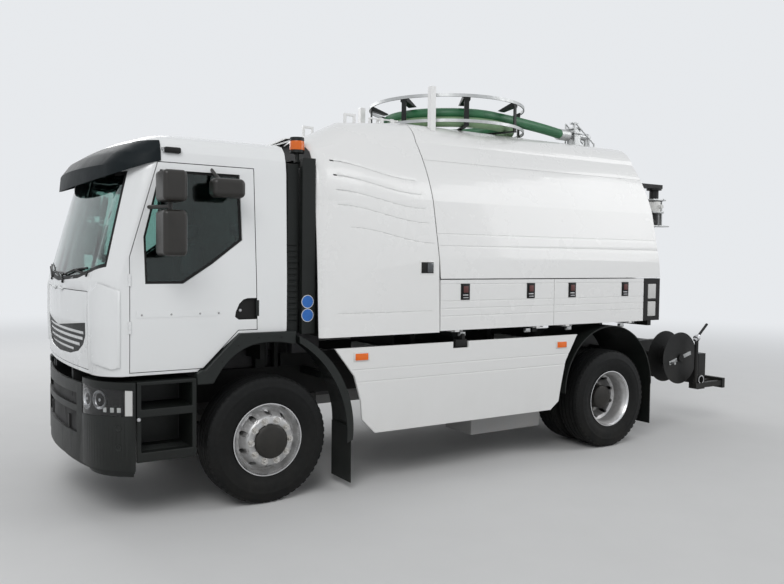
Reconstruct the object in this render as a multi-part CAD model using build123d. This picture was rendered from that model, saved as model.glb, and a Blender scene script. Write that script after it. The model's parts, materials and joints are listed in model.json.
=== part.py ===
"""A two-axle sewer cleaning truck with a tilting cab, a suction tank and its white covers.

Lengths are in millimetres. While a piece is drawn, X runs forward from the front axle,
Y runs to the vehicle's left and Z runs up from the ground. Each piece is moved by
ORIGIN_SHIFT when it is written, which puts the origin under the middle of the vehicle.
"""
from build123d import *
import math
import os

# Whole vehicle
WHEELBASE = 3950
FRONT_OVERHANG = 1420
REAR_OVERHANG = 2140
FRONT_TRACK = 2034
REAR_TRACK = 1840
TWIN_SPACING = 350
ORIGIN_SHIFT = (WHEELBASE + REAR_OVERHANG - FRONT_OVERHANG) / 2
REAR_AXLE_X = -WHEELBASE
REAR_END_X = REAR_AXLE_X - REAR_OVERHANG
PANEL_GAP = 6
SEAT_GAP = 0.3

# Wheels
TYRE_DIAMETER = 1046
TYRE_WIDTH = 298
WHEEL_Z = TYRE_DIAMETER / 2
RIM_FLANGE_DIAMETER = 597
RIM_WIDTH = 254
RIM_THICKNESS = 8
DISC_OFFSET = 175
DISC_THICKNESS = 13
HUB_BORE_RADIUS = 140.5
HUB_FIT = 1.5
HAND_HOLES = 10
HAND_HOLE_RADIUS = 22
HAND_HOLE_CIRCLE = 219
DRUM_RADIUS = 190
AXLE_STUB_RADIUS = 45
RUNNING_FIT = 0.05

# Steering and axles
KINGPIN_Y = 865
KINGPIN_RADIUS = 22
FORK_HALF_HEIGHT = 105
BEAM_EYE_HALF_HEIGHT = 45
BEAM_EYE_RADIUS = 45
FORK_FACE_GAP = 2
STEERING_ARM = 180
TIE_ROD_RADIUS = 19
TIE_BOSS_HALF_HEIGHT = 23
BALL_PIN_RADIUS = 12
REAR_HOUSING_RADIUS = 75
DIFFERENTIAL_RADIUS = 205
DIFFERENTIAL_NOSE = 330
SPRING_Y = 410
SPRING_WIDTH = 80
SPRING_THICKNESS = 56
SPRING_HALF_LENGTH = 790

# Chassis frame
RAIL_OUTER_Y = 430
RAIL_TOP_Z = 1010
RAIL_HEIGHT = 270
RAIL_FLANGE = 80
RAIL_THICKNESS = 8
RAIL_FRONT_X = 1120
RAIL_REAR_X = REAR_END_X + 230
CROSS_MEMBER_X = [RAIL_FRONT_X - 40, -1250, -2450, -3250, -4750, RAIL_REAR_X + 40]
CROSS_MEMBER_LOW_Z = 815
SHAFT_START_Z = 745

# Cab
CAB_REAR_X = -160
CAB_HALF_WIDTH = 1140
CAB_BOTTOM_Z = 1120
CAB_BELT_Z = 1930
CAB_HEADER_Z = 2680
CAB_ROOF_EDGE_Z = 2850
CAB_ROOF_Z = 2940
CAB_SKIN = 45
CAB_FLOOR_Z = 1250
CAB_FLOOR_THICKNESS = 30
CAB_ARCH_TOP_Z = 1405
CAB_ARCH_WALL = 30
FIREWALL_X = 1230
CAB_ARCH_INNER_Y = 700
DOOR_FRONT_X = 1100
DOOR_THICKNESS = 55
TUNNEL_HALF_WIDTH = 420
TUNNEL_TOP_Z = 1560
TUNNEL_FRONT_X = 950
TUNNEL_WALL = 30
FLAP_HALF_WIDTH = 835
FLAP_TOP_Z = 1740
FLAP_BOTTOM_Z = 1145
FLAP_THICKNESS = 24
FLAP_AXIS_X = 1405
FLAP_KNUCKLE_Y = 150
CAB_PIVOT_X = 1330
CAB_PIVOT_Z = 1060
CAB_PIVOT_RADIUS = 18
HORN_NOSE = 30
HORN_THICKNESS = 38
HORN_LOW_Z = 890
CAB_LUG_HALF_LENGTH = 25
DOOR_PIN_X = DOOR_FRONT_X - PANEL_GAP / 2
DOOR_KNUCKLE_RADIUS = 12
DOOR_PIN_RADIUS = 6
DOOR_KNUCKLE_Z = [1480, 1830]
DOOR_KNUCKLE_HEIGHT = 90
GLASS_THICKNESS = 6
GRILLE_DEPTH = 12
DEFLECTOR_DEPTH = 14
HANDLE_DEPTH = 24
VISOR_THICKNESS = 8
STEERING_WHEEL = (790, -600, 1900)
STEERING_COLUMN_TILT = 35
COLUMN_RADIUS = 28
TRIM_OUTER_Y = CAB_HALF_WIDTH + 32
TRIM_DEPTH = 77

# Bumper, steps and mudguards
BUMPER_TOP_Z = 1030
BUMPER_CORNER_Z = 1078
BUMPER_BOTTOM_Z = 420
BUMPER_LIP_Z = 368
BUMPER_WALL = 45
BUMPER_SIDE_Y = CAB_HALF_WIDTH + 50
BUMPER_CORNER_Y = 700
BUMPER_CORNER_BULGE = 78
SLOT_DEPTH = 26
SLOT_HALF_WIDTH = 590
LAMP_REAR_X = 1085
LAMP_STRIP_X = 1135
STEP_FRONT_X = 1060
STEP_REAR_X = 610
STEP_WALL = 34
MUDGUARD_OUTER_Y = CAB_HALF_WIDTH + 70
MUDGUARD_INNER_Y = 840
TOW_PIN_RADIUS = 20
TOW_JAW_Z = 860

# Behind the cab
STACK_REAR_X = -285
STACK_FRONT_X = -185
STACK_LOW_Z = 1375
STACK_TOP_Z = 2780
STACK_OUTER_Y = 1090
BEACON_BAR_X = -385
BEACON_X = -335
BEACON_BAR_Z = 2830
BEACON_Y = 950
BEACON_RADIUS = 60
SIGN_PANEL_Y = 1150

# Tank body
BODY_FRONT_X = -420
SEAM_X = -1645
BODY_REAR_X = -4700
BODY_HALF_WIDTH = 1242
BODY_BOTTOM_Z = 1340
BODY_ROOF_Z = 3335
COVER_THICKNESS = 8
GROOVE_DEPTH = 3.5
GROOVE_WIDTH = 12
COVER_NOSE = 30
FRONT_PLATE_X = BODY_FRONT_X - 80
SEAL_GAP = 6
SPINE_HALF_WIDTH = 500
COVER_PIN_Z = BODY_ROOF_Z + 20
COVER_PIN_RADIUS = 8
COVER_KNUCKLE_RADIUS = 14
COVER_KNUCKLE_X = [-1600, -1480, -1360]
COVER_KNUCKLE_LENGTH = 36
TANK_RADIUS = 900
TANK_WALL = 8
TANK_CENTRE_Z = 2250
TANK_FRONT_X = -1000
TANK_DISH = 230
TANK_FLANGE = 60
TANK_FLANGE_THICKNESS = 26
HINGE_PIN_RADIUS = 16
DOOR_HINGE_Z = TANK_CENTRE_Z + TANK_RADIUS + TANK_FLANGE + 55
DOOR_DISH = 260
LOCKER_TOP_Z = 1820
LOCKER_BOTTOM_Z = 1352
LOCKER_SPLIT_X = -3070
LOCKER_REAR_X = -4425
LOCKER_INNER_Y = 800
LOCKER_DOOR_THICKNESS = 28
LOCKER_WALL = 12
LOCKER_PIN_Y = BODY_HALF_WIDTH - LOCKER_DOOR_THICKNESS / 2
LOCKER_PIN_Z = LOCKER_BOTTOM_Z - 10
LOCKER_PIN_RADIUS = 5
LOCKER_KNUCKLE_RADIUS = 9
LOCKER_KNUCKLE_LENGTH = 50

# Roof
POST_X = -1920
POST_Y = 680
POST_TOP_Z = 3700
BASKET_X = -2600
BASKET_RADIUS = 850
BASKET_TOP_Z = 3640
BASKET_LOWER_Z = 3390
BASKET_FLOOR_Z = 3350
BASKET_BRACKETS = 8
HOSE_RADIUS = 52
COIL_RADIUS = 690
UPPER_COIL_RADIUS = 655
COIL_RISE = 92
ROOF_PIPE_Y = 350
ROOF_PIPE_Z = 3470
ROOF_PIPE_RADIUS = 36
COUPLING_FRONT_X = -3950
COUPLING_REAR_X = -4110

# Rear gear
LEVER_X = -5568
LEVER_Y = 1110
LEVER_Z = 1095
REEL_X = -5410
REEL_Z = 850
REEL_RADIUS = 310
REEL_OUTER_Y = 1000
REEL_WIDTH = 220
REAR_PIPE_Y = 620
REAR_PIPE_RADIUS = 55
REAR_PIPE_X = -5330
REAR_PIPE_LOW_Z = 2480
REAR_PIPE_TOP_Z = 2890


def block(x0, x1, y0, y1, z0, z1):
    """A box between two corners."""
    size = (abs(x1 - x0), abs(y1 - y0), abs(z1 - z0))
    middle = ((x0 + x1) / 2, (y0 + y1) / 2, (z0 + z1) / 2)
    return Pos(*middle) * Box(*size)


def outline(points):
    """A closed flat face through points of its own plane."""
    return make_face(Polyline(*points, close=True))


def side_prism(points, y0, y1):
    """A prism whose outline is given as X and Z, from y0 to y1."""
    face = Plane.XZ * outline(points)
    prism = extrude(face, amount=abs(y1 - y0), dir=(0, 1, 0))
    return Pos(0, min(y0, y1), 0) * prism


def front_prism(points, x0, x1):
    """A prism whose outline is given as Y and Z, from x0 to x1."""
    face = Plane.YZ * outline(points)
    prism = extrude(face, amount=abs(x1 - x0), dir=(1, 0, 0))
    return Pos(min(x0, x1), 0, 0) * prism


def rod(start, end, radius):
    """A round bar between two points."""
    start_point = Vector(*start)
    axis = Vector(*end) - start_point
    plane = Plane(origin=start_point, z_dir=axis)
    return extrude(plane * Circle(radius), amount=axis.length)


def wheel_ring(points):
    """A ring about the Y axis from points given as radius and Y."""
    return revolve(outline(points), axis=Axis.Y)


def mirrored(shape):
    """The same shape on the other side of the vehicle."""
    return mirror(shape, about=Plane.XZ)


def pair(shape):
    """A left piece and its right twin."""
    return [shape, mirrored(shape)]


def solids_of(shapes):
    """Every solid of a shape or of a list of shapes."""
    found = []
    for shape in shapes if isinstance(shapes, list) else [shapes]:
        found.extend(shape.solids())
    return found


def write(name, shapes):
    """Writes one node's solids in the vehicle's own frame."""
    placed = [Pos(ORIGIN_SHIFT, 0, 0) * solid for solid in solids_of(shapes)]
    export_step(Compound(children=placed), f"parts/{name}.step")


# Wheels, hubs and axles


def tyre():
    """A tyre about the Y axis, open towards its rim."""
    half = TYRE_WIDTH / 2
    tread = TYRE_DIAMETER / 2
    bead = RIM_FLANGE_DIAMETER / 2 - 8
    flange = RIM_WIDTH / 2
    outer = [(bead, flange - 15), (bead + 22, flange - 8), (bead + 60, half - 14), (410, half), (470, half - 3)]
    outer += [(tread - 13, half - 24), (tread, half - 46)]
    inner = [(tread - 22, half - 60), (470, half - 22), (410, half - 20), (bead + 60, half - 36), (bead, flange - 34)]
    section = outer + [(r, -y) for r, y in reversed(outer)]
    section += [(r, -y) for r, y in reversed(inner)] + inner
    return wheel_ring(section)


def rim():
    """A pressed steel wheel about the Y axis whose disc stands towards plus Y."""
    flange_r = RIM_FLANGE_DIAMETER / 2
    half = RIM_WIDTH / 2
    # Radius and Y of the barrel's outer face
    barrel = [(flange_r, half), (flange_r - 8, half - 14), (flange_r - 14, half - 22), (flange_r - 36, 60)]
    barrel += [(r, -y) for r, y in reversed(barrel)]
    inside = [(r - RIM_THICKNESS, y) for r, y in reversed(barrel)]
    wheel = wheel_ring(barrel + inside)
    well = flange_r - 36 - RIM_THICKNESS
    face = DISC_OFFSET
    back = DISC_OFFSET - DISC_THICKNESS
    front_side = [(well + 1, 62), (236, 74), (206, face - 14), (188, face), (HUB_BORE_RADIUS, face)]
    back_side = [(HUB_BORE_RADIUS, back), (182, back), (196, back - 12), (226, 60), (well + 1, 46)]
    disc = wheel_ring(front_side + back_side)
    for k in range(HAND_HOLES):
        hole = Rot(0, (k + 0.5) * 360 / HAND_HOLES, 0) * Pos(HAND_HOLE_CIRCLE, 90, 0) * Rot(90, 0, 0)
        disc -= hole * Cylinder(HAND_HOLE_RADIUS, 240)
    return wheel + disc


def front_hub():
    """The front hub with its brake drum, running on the stub axle."""
    bore = AXLE_STUB_RADIUS + RUNNING_FIT
    back = DISC_OFFSET - DISC_THICKNESS
    nose = HUB_BORE_RADIUS - HUB_FIT
    outer = DRUM_RADIUS + 15
    points = [(bore, -40), (90, -40), (90, 130), (DRUM_RADIUS, 130), (DRUM_RADIUS, -60), (outer, -60), (outer, 150)]
    points += [(outer - 18, back), (nose, back), (nose, back + 34), (112, back + 48), (0, back + 48)]
    points += [(0, back - 10), (bore, back - 10)]
    return wheel_ring(points)


def rear_hub():
    """The rear hub with its brake drum, running on the axle tube."""
    bore = REAR_HOUSING_RADIUS - 15 + RUNNING_FIT
    nose = HUB_BORE_RADIUS - HUB_FIT
    outer = DRUM_RADIUS + 15
    points = [(bore, -230), (100, -230), (100, -60), (DRUM_RADIUS, -60), (DRUM_RADIUS, -220), (outer, -220)]
    points += [(outer, -40), (outer - 18, -DISC_THICKNESS), (nose, -DISC_THICKNESS), (nose, 60), (125, 90)]
    points += [(125, 190), (95, 205), (0, 205), (0, 62), (bore, 62)]
    return wheel_ring(points)


def build_wheels():
    """Front wheels, twin rear wheels and what they turn on, on both sides."""
    front = [tyre(), rim() + front_hub()]
    front_place = Pos(0, FRONT_TRACK / 2, WHEEL_Z)
    left = [front_place * piece for piece in front]
    write("front_wheel_left", left)
    write("front_wheel_right", [mirrored(piece) for piece in left])
    inner_place = Pos(REAR_AXLE_X, (REAR_TRACK - TWIN_SPACING) / 2, WHEEL_Z)
    outer_place = Pos(REAR_AXLE_X, (REAR_TRACK + TWIN_SPACING) / 2, WHEEL_Z) * Rot(0, 0, 180)
    middle_place = Pos(REAR_AXLE_X, REAR_TRACK / 2, WHEEL_Z)
    rims = inner_place * rim() + outer_place * rim() + middle_place * rear_hub()
    twin = [inner_place * tyre(), outer_place * tyre(), rims]
    write("rear_wheels_left", twin)
    write("rear_wheels_right", [mirrored(piece) for piece in twin])


def build_knuckles():
    """Steering knuckles with their stub axles and steering arms, and the tie rod."""
    wheel_y = FRONT_TRACK / 2
    plate_y = wheel_y - 75
    fork_low = BEAM_EYE_HALF_HEIGHT + FORK_FACE_GAP
    web = block(-55, 55, wheel_y - 105, plate_y, WHEEL_Z - FORK_HALF_HEIGHT, WHEEL_Z + FORK_HALF_HEIGHT)
    knuckle = web
    for side in (1, -1):
        low = WHEEL_Z + side * fork_low
        high = WHEEL_Z + side * FORK_HALF_HEIGHT
        knuckle += block(-50, 50, KINGPIN_Y, wheel_y - 100, low, high)
        knuckle += Pos(0, KINGPIN_Y, (low + high) / 2) * Cylinder(50, abs(high - low))
    knuckle += rod((0, plate_y, WHEEL_Z), (0, plate_y + 9, WHEEL_Z), DRUM_RADIUS + 10)
    stub_end = wheel_y + DISC_OFFSET - DISC_THICKNESS - 12
    knuckle += rod((0, plate_y - 2, WHEEL_Z), (0, stub_end, WHEEL_Z), AXLE_STUB_RADIUS)
    arm_top = WHEEL_Z - FORK_HALF_HEIGHT + 30
    arm_low = WHEEL_Z - FORK_HALF_HEIGHT
    arm_end_y = KINGPIN_Y
    knuckle += block(-STEERING_ARM, 0, arm_end_y - 20, arm_end_y + 20, arm_low, arm_top)
    knuckle += Pos(-STEERING_ARM, arm_end_y, (arm_top + arm_low) / 2) * Cylinder(24, arm_top - arm_low)
    knuckle -= Pos(0, KINGPIN_Y, WHEEL_Z) * Cylinder(KINGPIN_RADIUS + RUNNING_FIT, 3 * FORK_HALF_HEIGHT)
    knuckle -= Pos(-STEERING_ARM, arm_end_y, WHEEL_Z) * Cylinder(BALL_PIN_RADIUS + RUNNING_FIT, 400)
    write("knuckle_left", knuckle)
    write("knuckle_right", mirrored(knuckle))
    rod_z = arm_low - 5 - TIE_BOSS_HALF_HEIGHT
    tie = rod((-STEERING_ARM, -arm_end_y, rod_z), (-STEERING_ARM, arm_end_y, rod_z), TIE_ROD_RADIUS)
    for y in (-arm_end_y, arm_end_y):
        tie += Pos(-STEERING_ARM, y, rod_z) * Cylinder(24, 2 * TIE_BOSS_HALF_HEIGHT)
        pin_top = arm_top + 4
        tie += rod((-STEERING_ARM, y, rod_z), (-STEERING_ARM, y, pin_top), BALL_PIN_RADIUS)
    write("tie_rod", tie)


def build_axles():
    """The forged front beam with its kingpins and the rear driving axle."""
    # Y and Z of the beam's lower and upper edges
    lower = [(600, 375), (700, 415), (KINGPIN_Y - 70, WHEEL_Z - 43), (KINGPIN_Y - 20, WHEEL_Z - 43)]
    upper = [(KINGPIN_Y - 20, WHEEL_Z + 30), (700, 505), (590, 462)]
    half = lower + upper
    beam = front_prism([(-y, z) for y, z in reversed(half)] + half, -42, 42)
    for side in (1, -1):
        beam += Pos(0, side * KINGPIN_Y, WHEEL_Z) * Cylinder(BEAM_EYE_RADIUS, 2 * BEAM_EYE_HALF_HEIGHT)
        beam += Pos(0, side * KINGPIN_Y, WHEEL_Z) * Cylinder(KINGPIN_RADIUS, 2 * FORK_HALF_HEIGHT + 20)
    write("front_axle", beam)
    stub_y = REAR_TRACK / 2 + 60
    housing = rod((REAR_AXLE_X, -620, WHEEL_Z), (REAR_AXLE_X, 620, WHEEL_Z), REAR_HOUSING_RADIUS)
    housing += rod((REAR_AXLE_X, -stub_y, WHEEL_Z), (REAR_AXLE_X, stub_y, WHEEL_Z), REAR_HOUSING_RADIUS - 15)
    housing += Pos(REAR_AXLE_X, 0, WHEEL_Z) * Sphere(DIFFERENTIAL_RADIUS)
    housing += rod((REAR_AXLE_X, 0, WHEEL_Z + 50), (REAR_AXLE_X + DIFFERENTIAL_NOSE, 0, WHEEL_Z + 50), 95)
    write("rear_axle", housing)


def leaf_pack(x, low_z, end_z):
    """One leaf spring pack, low in the middle and high at its eyes."""
    reach = SPRING_HALF_LENGTH
    top = ThreePointArc((x - reach, end_z), (x, low_z + SPRING_THICKNESS), (x + reach, end_z))
    right = Line((x + reach, end_z), (x + reach, end_z - 26))
    bottom = ThreePointArc((x + reach, end_z - 26), (x, low_z), (x - reach, end_z - 26))
    left = Line((x - reach, end_z - 26), (x - reach, end_z))
    face = Plane.XZ * make_face([top, right, bottom, left])
    pack = extrude(face, amount=SPRING_WIDTH, dir=(0, 1, 0))
    return Pos(0, SPRING_Y - SPRING_WIDTH / 2, 0) * pack


def build_springs():
    """Leaf springs with their seats and hangers, on both axles and both sides."""
    rail_low = RAIL_TOP_Z - RAIL_HEIGHT
    y0 = SPRING_Y - SPRING_WIDTH / 2
    y1 = SPRING_Y + SPRING_WIDTH / 2
    shapes = []
    # X of the axle, top of what the spring sits on, height of the spring's lowest point, height of its eyes
    for x, seat_z, low_z, end_z in ((0, 462, 492, 668), (REAR_AXLE_X, WHEEL_Z + 30, 618, 690)):
        seat = block(x - 80, x + 80, y0, y1, seat_z, low_z + 20)
        if x == REAR_AXLE_X:
            seat -= rod((x, y0 - 5, WHEEL_Z), (x, y1 + 5, WHEEL_Z), REAR_HOUSING_RADIUS + SEAT_GAP)
        pack = leaf_pack(x, low_z, end_z) + seat
        for end in (-1, 1):
            eye_x = x + end * (SPRING_HALF_LENGTH - 40)
            pack += block(eye_x - 40, eye_x + 40, y0, y1, end_z - 30, rail_low)
        shapes += pair(pack)
    write("leaf_springs", shapes)


# Chassis


def build_frame():
    """Two channel rails tied by cross members, with towing jaws at both ends."""
    web = block(RAIL_REAR_X, RAIL_FRONT_X, RAIL_OUTER_Y - RAIL_FLANGE, RAIL_OUTER_Y, RAIL_TOP_Z - RAIL_HEIGHT, RAIL_TOP_Z)
    hollow_y = RAIL_OUTER_Y - RAIL_THICKNESS
    hollow = block(RAIL_REAR_X - 10, RAIL_FRONT_X + 10, 0, hollow_y, RAIL_TOP_Z - RAIL_HEIGHT + RAIL_THICKNESS,
                   RAIL_TOP_Z - RAIL_THICKNESS)
    frame = web - hollow
    frame += mirrored(frame)
    for x in CROSS_MEMBER_X:
        web_side = 1 if x > 0 else -1
        tie = block(x - 40, x + 40, -hollow_y, hollow_y, CROSS_MEMBER_LOW_Z, RAIL_TOP_Z - 30)
        tie -= block(x - web_side * 60, x + web_side * 30, -hollow_y, hollow_y, CROSS_MEMBER_LOW_Z + 10, RAIL_TOP_Z - 40)
        frame += tie
    frame += tow_jaw(RAIL_FRONT_X, 1)
    frame += tow_jaw(RAIL_REAR_X, -1)
    # Side view of the left pivot horn
    horn_points = [(RAIL_FRONT_X - 20, 800), (1270, 800), (1335, 940), (CAB_PIVOT_X + HORN_NOSE, 1010)]
    horn_points += [(CAB_PIVOT_X + HORN_NOSE, CAB_PIVOT_Z + 30), (CAB_PIVOT_X - 40, CAB_PIVOT_Z + 30)]
    horn_points += [(1230, RAIL_TOP_Z), (RAIL_FRONT_X - 20, RAIL_TOP_Z)]
    horn = side_prism(horn_points, RAIL_OUTER_Y - HORN_THICKNESS, RAIL_OUTER_Y)
    horn -= rod((CAB_PIVOT_X, 0, CAB_PIVOT_Z), (CAB_PIVOT_X, 600, CAB_PIVOT_Z), CAB_PIVOT_RADIUS + RUNNING_FIT)
    frame += horn
    frame += mirrored(horn)
    write("chassis_frame", frame)


def tow_jaw(x, way):
    """A towing jaw with an upright pin hole, on the end cross member."""
    jaw = block(x - way * 10, x + way * 90, -60, 60, TOW_JAW_Z - 45, TOW_JAW_Z + 45)
    jaw -= block(x + way * 25, x + way * 95, -65, 65, TOW_JAW_Z - 22, TOW_JAW_Z + 22)
    jaw -= Pos(x + way * 60, 0, TOW_JAW_Z) * Cylinder(TOW_PIN_RADIUS, 120)
    return jaw


def build_driveline():
    """The engine and radiator as plain blocks, the gearbox and the shaft to the rear axle."""
    engine = block(-350, 850, -330, 330, 660, 1490)
    radiator = block(970, 1030, -340, 340, 770, 1200) + block(840, 980, -60, 60, 900, 1000)
    gearbox = block(-1080, -340, -215, 215, 665, 1090)
    nose = (REAR_AXLE_X + DIFFERENTIAL_NOSE, 0, WHEEL_Z + 50)
    shaft = rod((-1080, 0, SHAFT_START_Z), nose, 45)
    shaft -= rod((nose[0] - 60, 0, WHEEL_Z + 50), (nose[0] + SEAT_GAP, 0, WHEEL_Z + 50), 120)
    write("engine_and_driveline", engine + radiator + gearbox + shaft)


def build_side_tanks():
    """The grey box under the left skirt and the fuel tank on the right."""
    left = block(-3180, -2260, 520, 950, 262, 900)
    left += block(-2900, -2500, RAIL_OUTER_Y, 525, 760, 860)
    right = block(-2000, -980, -1080, -520, 420, 980)
    right += block(-1700, -1300, -525, -RAIL_OUTER_Y, 760, 860)
    write("side_boxes", [left, right])


def bumper_section(inset):
    """The bumper's outline from above: round corners and a bowed front."""
    side = BUMPER_SIDE_Y - inset
    front = FRONT_OVERHANG - inset
    start_x = STEP_FRONT_X + 10
    corner_x = front - 75
    return [(start_x, side), (corner_x, BUMPER_CORNER_Y), (front, 0), (corner_x, -BUMPER_CORNER_Y), (start_x, -side)]


def bumper_solid(inset, z0, z1):
    """A solid with the bumper's outline between two heights."""
    rear, corner, front, far_corner, far_rear = bumper_section(inset)
    chord = Vector(corner[0] - rear[0], corner[1] - rear[1])
    bend_x = (rear[0] + corner[0]) / 2 - BUMPER_CORNER_BULGE * chord.Y / chord.length
    bend_y = (rear[1] + corner[1]) / 2 + BUMPER_CORNER_BULGE * chord.X / chord.length
    edges = [
        ThreePointArc(rear, (bend_x, bend_y), corner),
        ThreePointArc(corner, front, far_corner),
        ThreePointArc(far_corner, (bend_x, -bend_y), far_rear),
        Line(far_rear, rear),
    ]
    return Pos(0, 0, z0) * extrude(make_face(edges), amount=z1 - z0)


def build_bumper():
    """The front bumper with its slots, lamp recesses and lower lip, and the lamps."""
    hollow = bumper_solid(BUMPER_WALL, BUMPER_BOTTOM_Z - 5, BUMPER_TOP_Z - 40)
    shell = bumper_solid(0, BUMPER_BOTTOM_Z, BUMPER_TOP_Z) - hollow
    for side in (1, -1):
        corner_zone = block(STEP_FRONT_X, FRONT_OVERHANG, side * BUMPER_CORNER_Y, side * (BUMPER_SIDE_Y + 40),
                            BUMPER_TOP_Z - 5, BUMPER_CORNER_Z)
        shell += bumper_solid(0, BUMPER_TOP_Z - 5, BUMPER_CORNER_Z) & corner_zone
    top_notch = block(STEP_FRONT_X - 100, FRONT_OVERHANG, -600, 600, BUMPER_TOP_Z - 45, BUMPER_TOP_Z + 5)
    shell -= top_notch & bumper_solid(24, BUMPER_TOP_Z - 50, BUMPER_TOP_Z + 10)
    skin = bumper_solid(-5, BUMPER_BOTTOM_Z, BUMPER_TOP_Z) - bumper_solid(SLOT_DEPTH, BUMPER_BOTTOM_Z, BUMPER_TOP_Z)
    # Bottom and top of the two air slots
    for z0, z1 in ((630, 795), (845, 940)):
        shell -= skin & block(STEP_FRONT_X, FRONT_OVERHANG + 10, -SLOT_HALF_WIDTH, SLOT_HALF_WIDTH, z0, z1)
    lip = bumper_solid(50, BUMPER_LIP_Z, BUMPER_BOTTOM_Z + 5) - bumper_solid(95, BUMPER_LIP_Z - 5, BUMPER_BOTTOM_Z + 10)
    shell += lip
    shell += bumper_solid(22, BUMPER_BOTTOM_Z - 22, BUMPER_BOTTOM_Z) - bumper_solid(95, BUMPER_LIP_Z, BUMPER_BOTTOM_Z + 5)
    # Front view of the left lamp, Y and Z
    lamp_outline = [(BUMPER_CORNER_Y - 10, 800), (BUMPER_CORNER_Y - 10, 1035), (1200, 1018), (1200, 832)]
    lamp_zone = front_prism(lamp_outline, LAMP_REAR_X, FRONT_OVERHANG)
    fit_zone = front_prism(lamp_outline, LAMP_REAR_X + SEAT_GAP, FRONT_OVERHANG)
    ring = bumper_solid(-5, 790, 1045) - bumper_solid(40, 785, 1050)
    for side in (1, -1):
        room = ring & lamp_zone
        shell -= room if side == 1 else mirrored(room)
        shell += block(RAIL_FRONT_X - 60, FRONT_OVERHANG - 35, side * 345, side * (RAIL_OUTER_Y - BUMPER_WALL), 600,
                       RAIL_TOP_Z - RAIL_HEIGHT - SEAT_GAP)
        shell -= block(RAIL_FRONT_X, CAB_PIVOT_X + HORN_NOSE + 6, side * (RAIL_OUTER_Y - HORN_THICKNESS - 6),
                       side * (RAIL_OUTER_Y + 6), HORN_LOW_Z, BUMPER_TOP_Z + 5)
    write("front_bumper", shell)
    body = (bumper_solid(3, 800, 1035) - bumper_solid(40 - SEAT_GAP, 790, 1040)) & fit_zone
    strip = body & block(LAMP_REAR_X, LAMP_STRIP_X, 900, BUMPER_SIDE_Y + 10, 790, 1045)
    lamp = body - block(LAMP_REAR_X, LAMP_STRIP_X + SEAT_GAP, 900, BUMPER_SIDE_Y + 10, 790, 1045)
    write("headlamps", pair(lamp) + pair(strip))


def build_steps():
    """Two-tread entry steps behind the bumper corners."""
    outer_y = CAB_HALF_WIDTH + 45
    inner_y = 830
    box = block(STEP_REAR_X, STEP_FRONT_X, inner_y, outer_y, 478, BUMPER_CORNER_Z)
    # Bottom and top of each foot opening
    for z0, z1 in ((552, 812), (874, 1050)):
        box -= block(STEP_REAR_X + STEP_WALL, STEP_FRONT_X - STEP_WALL, inner_y + STEP_WALL, outer_y + 5, z0, z1)
    box += block(STEP_REAR_X + 100, STEP_REAR_X + 220, RAIL_OUTER_Y, inner_y + 5, 760, 860)
    write("entry_steps", pair(box))


def curved_strip(points, thickness, y0, y1):
    """A bent plate through three points of an arc given as X and Z."""
    first, middle, last = points
    arc = ThreePointArc(first, middle, last)
    centre = arc.arc_center
    radius = arc.radius
    scale = (radius - thickness) / radius
    inner = []
    for x, z in (last, middle, first):
        inner.append((centre.X + (x - centre.X) * scale, centre.Y + (z - centre.Y) * scale))
    edges = [arc, Line(last, inner[0]), ThreePointArc(*inner), Line(inner[2], first)]
    face = Plane.XZ * make_face(edges)
    return Pos(0, y0, 0) * extrude(face, amount=y1 - y0, dir=(0, 1, 0))


def build_mudguards():
    """Front wheel rear quarters with flaps, and the rear wheel arches with flaps."""
    top_line = ((-245, 1366), (-600, 1065), (-757, 447))
    low_line = ((-700, 425), (-560, 1000), (-250, 1306))
    front = curved_strip(top_line, 10, MUDGUARD_INNER_Y, MUDGUARD_OUTER_Y)
    edges = [ThreePointArc(*top_line), Line(top_line[2], low_line[0]), ThreePointArc(*low_line),
             Line(low_line[2], top_line[0])]
    brim = extrude(Plane.XZ * make_face(edges), amount=16, dir=(0, 1, 0))
    front += Pos(0, MUDGUARD_OUTER_Y - 16, 0) * brim
    front += block(-752, -742, MUDGUARD_INNER_Y + 10, MUDGUARD_OUTER_Y - 20, 70, 560)
    front += block(-690, -630, RAIL_OUTER_Y, MUDGUARD_INNER_Y + 10, 940, 1000)
    write("front_mudguards", pair(front))
    arch = curved_strip(((-3250, 640), (-3905, 1316), (-4590, 640)), 12, 580, BODY_HALF_WIDTH)
    arch += block(-4594, -4582, 600, BODY_HALF_WIDTH - 10, 190, 680)
    for x in (-3335, -4505):
        arch += block(x - 35, x + 35, RAIL_OUTER_Y, 590, 950, 1010)
    write("rear_mudguards", pair(arch))


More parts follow.
